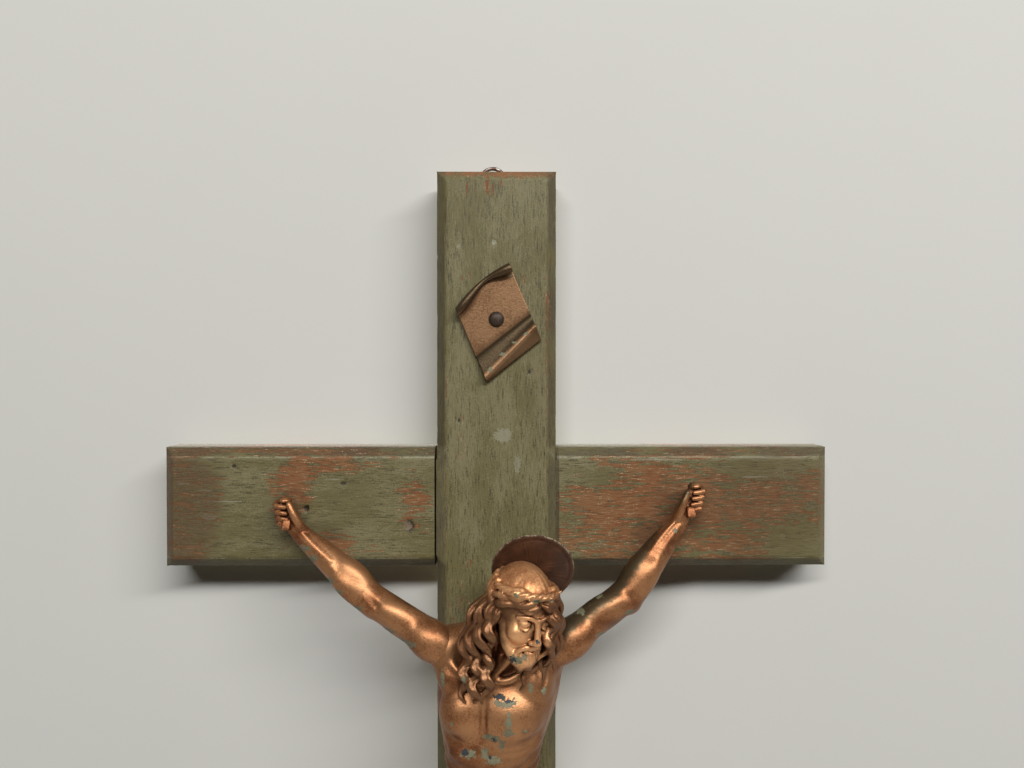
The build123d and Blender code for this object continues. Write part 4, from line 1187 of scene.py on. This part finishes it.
# Arms: each cast apart with its fist, and butted to the shoulder on a pin.
# The palms face forwards, with the thumb up the inner side and the fingers curled in from the outer side.
arm_rows = {
    "left": (
        (-20, 20.5, -58, 8.0), (-27.3, 20, -53.7, 7.9), (-38.8, 18, -46.3, 7.0),
        (-47.4, 16.5, -41.3, 6.9), (-55.7, 14.5, -36.6, 7.0), (-62.5, 13, -30.4, 6.9),
        (-69.7, 11, -24.5, 6.5), (-79.2, 9, -16.7, 5.3), (-87.0, 7.8, -10.2, 4.2), (-90.6, 7.6, -5, 4.0),
    ),
    "right": (
        (23, 20.5, -59, 8.0), (32.5, 20, -53, 7.9), (44.4, 18, -43.2, 6.8), (51.1, 16.5, -39.7, 6.9),
        (57.5, 14.5, -35.5, 7.3), (62.6, 13, -29.3, 7.3), (67.6, 11, -22.7, 6.9), (75, 9, -13.4, 5.6),
        (81.0, 7.8, -6.6, 4.2), (84.2, 7.6, 0.5, 4.0),
    ),
}
arm_muscles = {
    "left": (
        ((-27.5, 22, -53.5), (10, 7.5, 8.2), -32, 3), ((-41, 20.4, -43.8), (10.5, 4.6, 5.4), -32, 2.5),
        ((-40.5, 15.5, -49.2), (10, 5, 4.6), -30, 3), ((-54, 13.5, -42.2), (4.2, 4.2, 3.2), -30, 2.5),
        ((-63.5, 16.2, -32.2), (9.5, 4.4, 4.8), -40, 2.5), ((-61.5, 13.5, -26.2), (8.5, 5, 4.0), -42, 2.5),
    ),
    "right": (
        ((32, 22, -52.5), (10, 7.5, 8.2), 36, 3), ((46, 20.2, -41), (9.5, 4.5, 5.2), 34, 2.5),
        ((46.5, 15.5, -47), (9.5, 5, 4.4), 33, 3), ((59.5, 13.5, -40.6), (4.2, 4.2, 3.4), 40, 2.5),
        ((64.5, 16.2, -28), (9.5, 4.4, 5.0), 52, 2.5), ((61.5, 13.6, -24.5), (8.5, 5, 4.0), 54, 2.5),
    ),
}
arm_tendons = {
    "left": (
        ((-70, 16.6, -24.2), (-78, 14.0, -17.6), (-86.5, 11.7, -10.8)),
        ((-72, 15.6, -20.6), (-80, 13.2, -14.2), (-86.5, 11.2, -8.2)),
    ),
    "right": (
        ((69.5, 16.2, -21.6), (75, 13.9, -13.4), (80.8, 11.5, -6.2)),
        ((66.6, 15.2, -18.6), (72.6, 12.9, -11), (79.2, 11.0, -4.4)),
    ),
}
elbow_folds = {
    "left": ((-56, 22.6, -32.4), (-51.5, 23.0, -38)),
    "right": ((55.2, 22.6, -31.8), (59.6, 22.2, -37)),
}
thumbs = {
    "left": ((-84.4, 8.6, -9.6), (-87.2, 11.2, -5.2), (-89.3, 12.4, -0.6), (-91.2, 12.0, 3.6)),
    "right": ((79.4, 8.6, -5.4), (81.4, 11.2, -0.6), (82.7, 12.4, 4.0), (84.6, 12.0, 8.4)),
}
fists = {
    "left": (-92.6, -2.2, 20, -1.4, (2.6, -0.1, -2.8, -5.3)),
    "right": (87.2, 4.4, -14, 5.0, (8.8, 6.2, 3.6, 1.1)),
}
arm_chips = {
    "left": (
        (-84, -15.6, 3.2, 1.6), (-80, -19.6, 2.6, 1.8), (-72, -28.6, 2.2, 1.4), (-68, -33, 2.4, 1.2),
        (-60, -40, 3, 1.2), (-47, -49, 4.5, 1.6), (-38, -53.5, 5, 1.8),
    ),
    "right": (
        (36, -41, 2.6, 1.2), (44, -34.4, 2.0, 1.2), (58, -41.6, 3, 1.2), (45, -50.4, 2.4, 1.1),
        (79, -8, 1.2, 1.2),
    ),
}
# The arms' bright tone is a little darker than the body's: painted shade that dims their highlights.
arm_shaded_tones = (bronze, (0.350, 0.166, 0.074))
arm_patina = (0.062, 0.054, 0.030)
arm_leans = (34.3, 53.2)
elbow_x, elbow_z = 57.5, -35.5


def arm_soot(place):
    """Dirt along the right arm's upper edge, above the lines of its upper arm and its forearm."""
    over = []
    for lean in arm_leans:
        up, across = place[2] - elbow_z, place[0] - elbow_x
        over.append(up * cos(radians(lean)) - across * sin(radians(lean)))
    rough = cloud(place, (1.6, 1.6, 1.6), 5, 0.75).swing(7.0)
    return step(over[0].maths("MINIMUM", *over) + rough, 2.8, 5.4) * 0.85


for side, rows in arm_rows.items():
    xs = [row[0] for row in rows]
    arm = Clay(low=(min(xs) - 13, -1.5, -73), high=(max(xs) + 14, 32, 16), cell=0.42)
    arm.rope([row[:3] for row in rows], [row[3] for row in rows], 1)
    for middle, radii, lean, soft in arm_muscles[side]:
        arm.lump(middle, radii, soft, tilted(lean))
    for tendon in arm_tendons[side]:
        arm.rope(tendon, (0.9, 0.9, 0.7), 1.2)
    arm.rope(elbow_folds[side], (0.6, 0.6), 2.5, carve=True)
    way = -1 if side == "left" else 1
    palm_x, palm_z, lean, turn_z, finger_rows = fists[side]
    arm.lump((palm_x, 7.4, palm_z), (4.3, 3.3, 6.2), 1.5, tilted(lean))
    arm.lump((palm_x + way * 1.6, 7.4, finger_rows[0] + 1.9), (3.0, 3.2, 2.0), 1.0)
    for z in finger_rows:
        shift = palm_x + way * (0.2 * (z - turn_z) - 0.1)
        finger = (
            (shift + way * 0.2, 4.4, z + 1.4),
            (shift + way * 4.5, 6.0, z + 0.8),
            (shift + way * 4.1, 10.4, z + 0.1),
            (shift - way * 0.2, 11.4, z - 0.4),
        )
        arm.rope(finger, (1.3, 1.35, 1.3, 1.05), 0.35)
    arm.rope(thumbs[side], (2.2, 2.0, 1.65, 1.3), 0.6)
    piece = arm.cast(side + "_arm_casting")
    soot_and_shade = (arm_soot, arm_patina) if side == "right" else None
    arm_paint = bronze_paint(side + "_arm_paint", arm_chips[side], tones=arm_shaded_tones, soot_and_shade=soot_and_shade)
    piece.data.materials.append(arm_paint)
    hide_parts(side + "_arm")
    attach(piece, "cross")

# Halo: a thin pressed disc of dark brown metal behind the head, leaning forwards, held by one pin.
# A rim line and three flared arms stand in low relief.
halo_radius = 17.6
halo_sheet = 0.9
halo_steps = 168
halo_dish = 15.0
halo_line = 15.4
halo_arms = 14.6


def halo_depth(radius, angle):
    """How far the pressed pattern lies behind the disc's front, in millimetres."""
    depth = 0.20 if radius < halo_dish else 0.0
    depth += 0.22 * exp(-(((radius - halo_line) / 0.45) ** 2))
    for arm_angle in (0, pi / 2, pi):
        off = abs(atan2(sin(angle - arm_angle), cos(angle - arm_angle))) * radius
        flare = 1.5 + 0.2 * radius
        if radius < halo_arms:
            raised = 1 / (1 + exp((off - flare) / 0.16))
            depth -= 0.16 * raised
            depth += 0.14 * exp(-(((off - flare * 0.72) / 0.3) ** 2))
    return depth


halo_front = [(radius, None) for radius in (0.05, *np.linspace(0.8, 17.1, 44))]
halo_back = [(17.45, 0.12), (halo_radius, 0.45), (17.4, 0.8), (17.0, halo_sheet), (0.05, halo_sheet)]
halo_rings = []
for radius, back in halo_front + halo_back:
    ring = []
    for angle in np.linspace(0, 2 * pi, halo_steps, endpoint=False):
        depth = halo_depth(radius, angle) if back is None else back
        up = radius * sin(angle)
        ring.append((
            halo_middle[0] + radius * cos(angle),
            board_front - halo_middle[1] - up * sin(halo_tilt) + depth * cos(halo_tilt),
            halo_middle[2] + up * cos(halo_tilt) + depth * sin(halo_tilt),
        ))
    halo_rings.append(ring)
halo = skin("halo_disc", halo_rings, sharp=40)
halo_brown = (0.048, 0.019, 0.009)
halo_red = (0.084, 0.034, 0.016)
halo_rim_highlight = (0.30, 0.23, 0.15)
material, shader, place = blank("halo_brown")
film = cloud(place, (5, 5, 5), 4)
speck = cloud(place, (0.6, 0.6, 0.6), 3)
across = place[0] - halo_middle[0]
up = (place[2] - halo_middle[2]) * (1 / cos(halo_tilt))
off_middle = across * across + up * up
rim = step(off_middle.maths("SQRT", off_middle), 16.9, 17.3)
colour = mixed(step(film, 0.35, 0.7), halo_brown, halo_red)
# The rim is paler on its upper part only: a painted highlight where light from above catches it.
rubbed_and_highlight = rim * step(film + speck.swing(0.8), 0.42, 0.56) * step(up, -4, 6)
colour = mixed(rubbed_and_highlight * 0.85, colour, halo_rim_highlight)
finish(shader, colour, 0.40 + film * 0.2, speck * 0.03 + film * 0.05, metal=0.25)
halo.data.materials.append(material)
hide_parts("halo")
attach(halo, "cross")

# Hand and foot nails: forged iron, bronze-painted with the figure and driven through it into the wood.
# Their blunt square heads slope back at the top, and their paint is a little darker than the figure's.
nail_shank = 1.3
nail_head = 4.2
head_sections = (
    (0.05, 1.0), (0.45, 0.99), (0.72, 0.95), (0.84, 0.84), (0.93, 0.5), (1.0, 0.12), (0.97, 0.0),
)


def spike(name, node):
    """A square-headed nail in the room of its node, with a hammered head."""
    low, high = (Vector(corner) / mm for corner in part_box(node))
    middle_x, middle_z = (low.x + high.x) / 2, (low.z + high.z) / 2
    wide, tall = (high.x - low.x) / 2, (high.z - low.z) / 2
    seat = low.y + nail_head
    rings = []
    for size, share in head_sections:
        ring = []
        for angle in nail_angles:
            c, s = cos(angle), sin(angle)
            square = (abs(c) ** 5 + abs(s) ** 5) ** -0.2
            dent = 1 + 0.05 * ripple(c * 1.5, s * 1.5, middle_x + share * 2)
            z = size * square * s * tall * dent
            slope = 0.34 * (z + tall) * share
            x = middle_x + size * square * c * wide * dent
            ring.append((x, seat - nail_head * share + slope, middle_z + z))
        rings.append(ring)
    for depth in (seat + 0.1, high.y):
        rings.append([
            (middle_x + nail_shank * cos(a), depth, middle_z + nail_shank * sin(a)) for a in nail_angles
        ])
    piece = skin(name, rings, sharp=35)
    piece.data.materials.append(bronze_paint(name + "_paint", (), shade=0.12))
    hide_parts(node)
    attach(piece, "cross")


for node in ("left_hand_nail", "right_hand_nail", "foot_nail"):
    spike(node + "_forged", node)

# Wall and floor: plain and pale, as in the photograph.
# The wall stands just behind the hanger, and both show from their front side only.
wall_pale = (0.600, 0.597, 0.566)
wall_depth = 5.6
floor_drop = -900
stage_half = 3000


def backdrop(name, corners):
    """A pale four-cornered sheet that shows from its front side only."""
    mesh = bpy.data.meshes.new(name)
    mesh.from_pydata([tuple(c * mm for c in corner) for corner in corners], [], [(0, 1, 2, 3)])
    piece = bpy.data.objects.new(name, mesh)
    bpy.context.scene.collection.objects.link(piece)
    material, shader, place = blank(name + "_paint")
    tone = cloud(place, (90, 90, 90), 2)
    finish(shader, mixed(tone, wall_pale, tuple(c * 0.97 for c in wall_pale)), 0.9)
    geometry = place[0].node("NewGeometry", {}, {}, "Backfacing")
    clear = geometry.node("BsdfTransparent", {}, {})
    front = Value(geometry.tree, shader.outputs[0])
    shown = geometry.node("MixShader", {}, {0: geometry, 1: front, 2: clear})
    output = geometry.tree.nodes["Material Output"]
    geometry.tree.links.new(shown.socket, output.inputs[0])
    mesh.materials.append(material)
    return piece


wall = backdrop("wall", (
    (-stage_half, wall_depth, floor_drop),
    (stage_half, wall_depth, floor_drop),
    (stage_half, wall_depth, stage_half),
    (-stage_half, wall_depth, stage_half),
))
floor = backdrop("floor", (
    (-stage_half, -stage_half, floor_drop),
    (stage_half, -stage_half, floor_drop),
    (stage_half, stage_half, floor_drop),
    (-stage_half, stage_half, floor_drop),
))
floor.visible_diffuse = False
wall.visible_shadow = False

# Light: one long soft lamp above, in front and a little to the right, as wide as a bench light.
# A second lamp behind the wall shows the back, because the wall throws no shadow.
# The room itself is dim and even, and looks pale where it is seen or mirrored.
lamp_white = (0.99, 0.985, 0.965)
lamp_aim = (0, 0, -0.04)
room_warm = (1.0, 0.82, 0.66)


def soft_lamp(name, size, energy, place):
    """A flat lamp of that width and height in metres, aimed at the crossing."""
    lamp = bpy.data.lights.new(name, "AREA")
    lamp.shape = "RECTANGLE"
    lamp.size, lamp.size_y = size
    lamp.energy = energy
    lamp.color = lamp_white
    stand = bpy.data.objects.new(name, lamp)
    stand.location = place
    aim = Vector(lamp_aim) - stand.location
    stand.rotation_euler = aim.to_track_quat("-Z", "Y").to_euler()
    bpy.context.scene.collection.objects.link(stand)


soft_lamp("bench_light", size=(3.8, 0.22), energy=104, place=(0.55, -1.96, 1.54))
soft_lamp("back_light", size=(2.4, 1.0), energy=60, place=(-0.3, 1.7, 1.0))

room = bpy.data.worlds.new("room")
room.use_nodes = True
dim = room.node_tree.nodes["Background"]
dim.inputs["Color"].default_value = (*room_warm, 1.0)
dim.inputs["Strength"].default_value = 0.035
rays = room.node_tree.nodes.new("ShaderNodeLightPath").outputs
seen_rays = ("Is Camera Ray", "Is Glossy Ray", "Is Transmission Ray")
camera_ray, glossy_ray, clear_ray = (Value(room.node_tree, rays[name]) for name in seen_rays)
seen = camera_ray + glossy_ray + clear_ray
pale = seen.node("Background", {}, {"Color": (*wall_pale, 1.0), "Strength": 0.65})
shown = seen.node("MixShader", {}, {0: seen, 1: Value(room.node_tree, dim.outputs[0]), 2: pale})
room.node_tree.links.new(shown.socket, room.node_tree.nodes["World Output"].inputs["Surface"])
bpy.context.scene.world = room
bpy.context.scene.view_settings.view_transform = "Standard"

# Camera: close in front of the crossing and a little above it, nearly level, as in the photograph.
# It looks a touch down and to the right.
camera_place = (4.9, -371.2, 61.1)
camera_down = 0.75
camera_right = 0.36
lens = bpy.data.cameras.new("camera")
lens.lens = 27.18
lens.sensor_width = 36
lens.clip_start = 0.01
camera = bpy.data.objects.new("camera", lens)
camera.location = [c * mm for c in camera_place]
camera.rotation_euler = (radians(90 - camera_down), 0, radians(-camera_right))
bpy.context.scene.collection.objects.link(camera)
bpy.context.scene.camera = camera
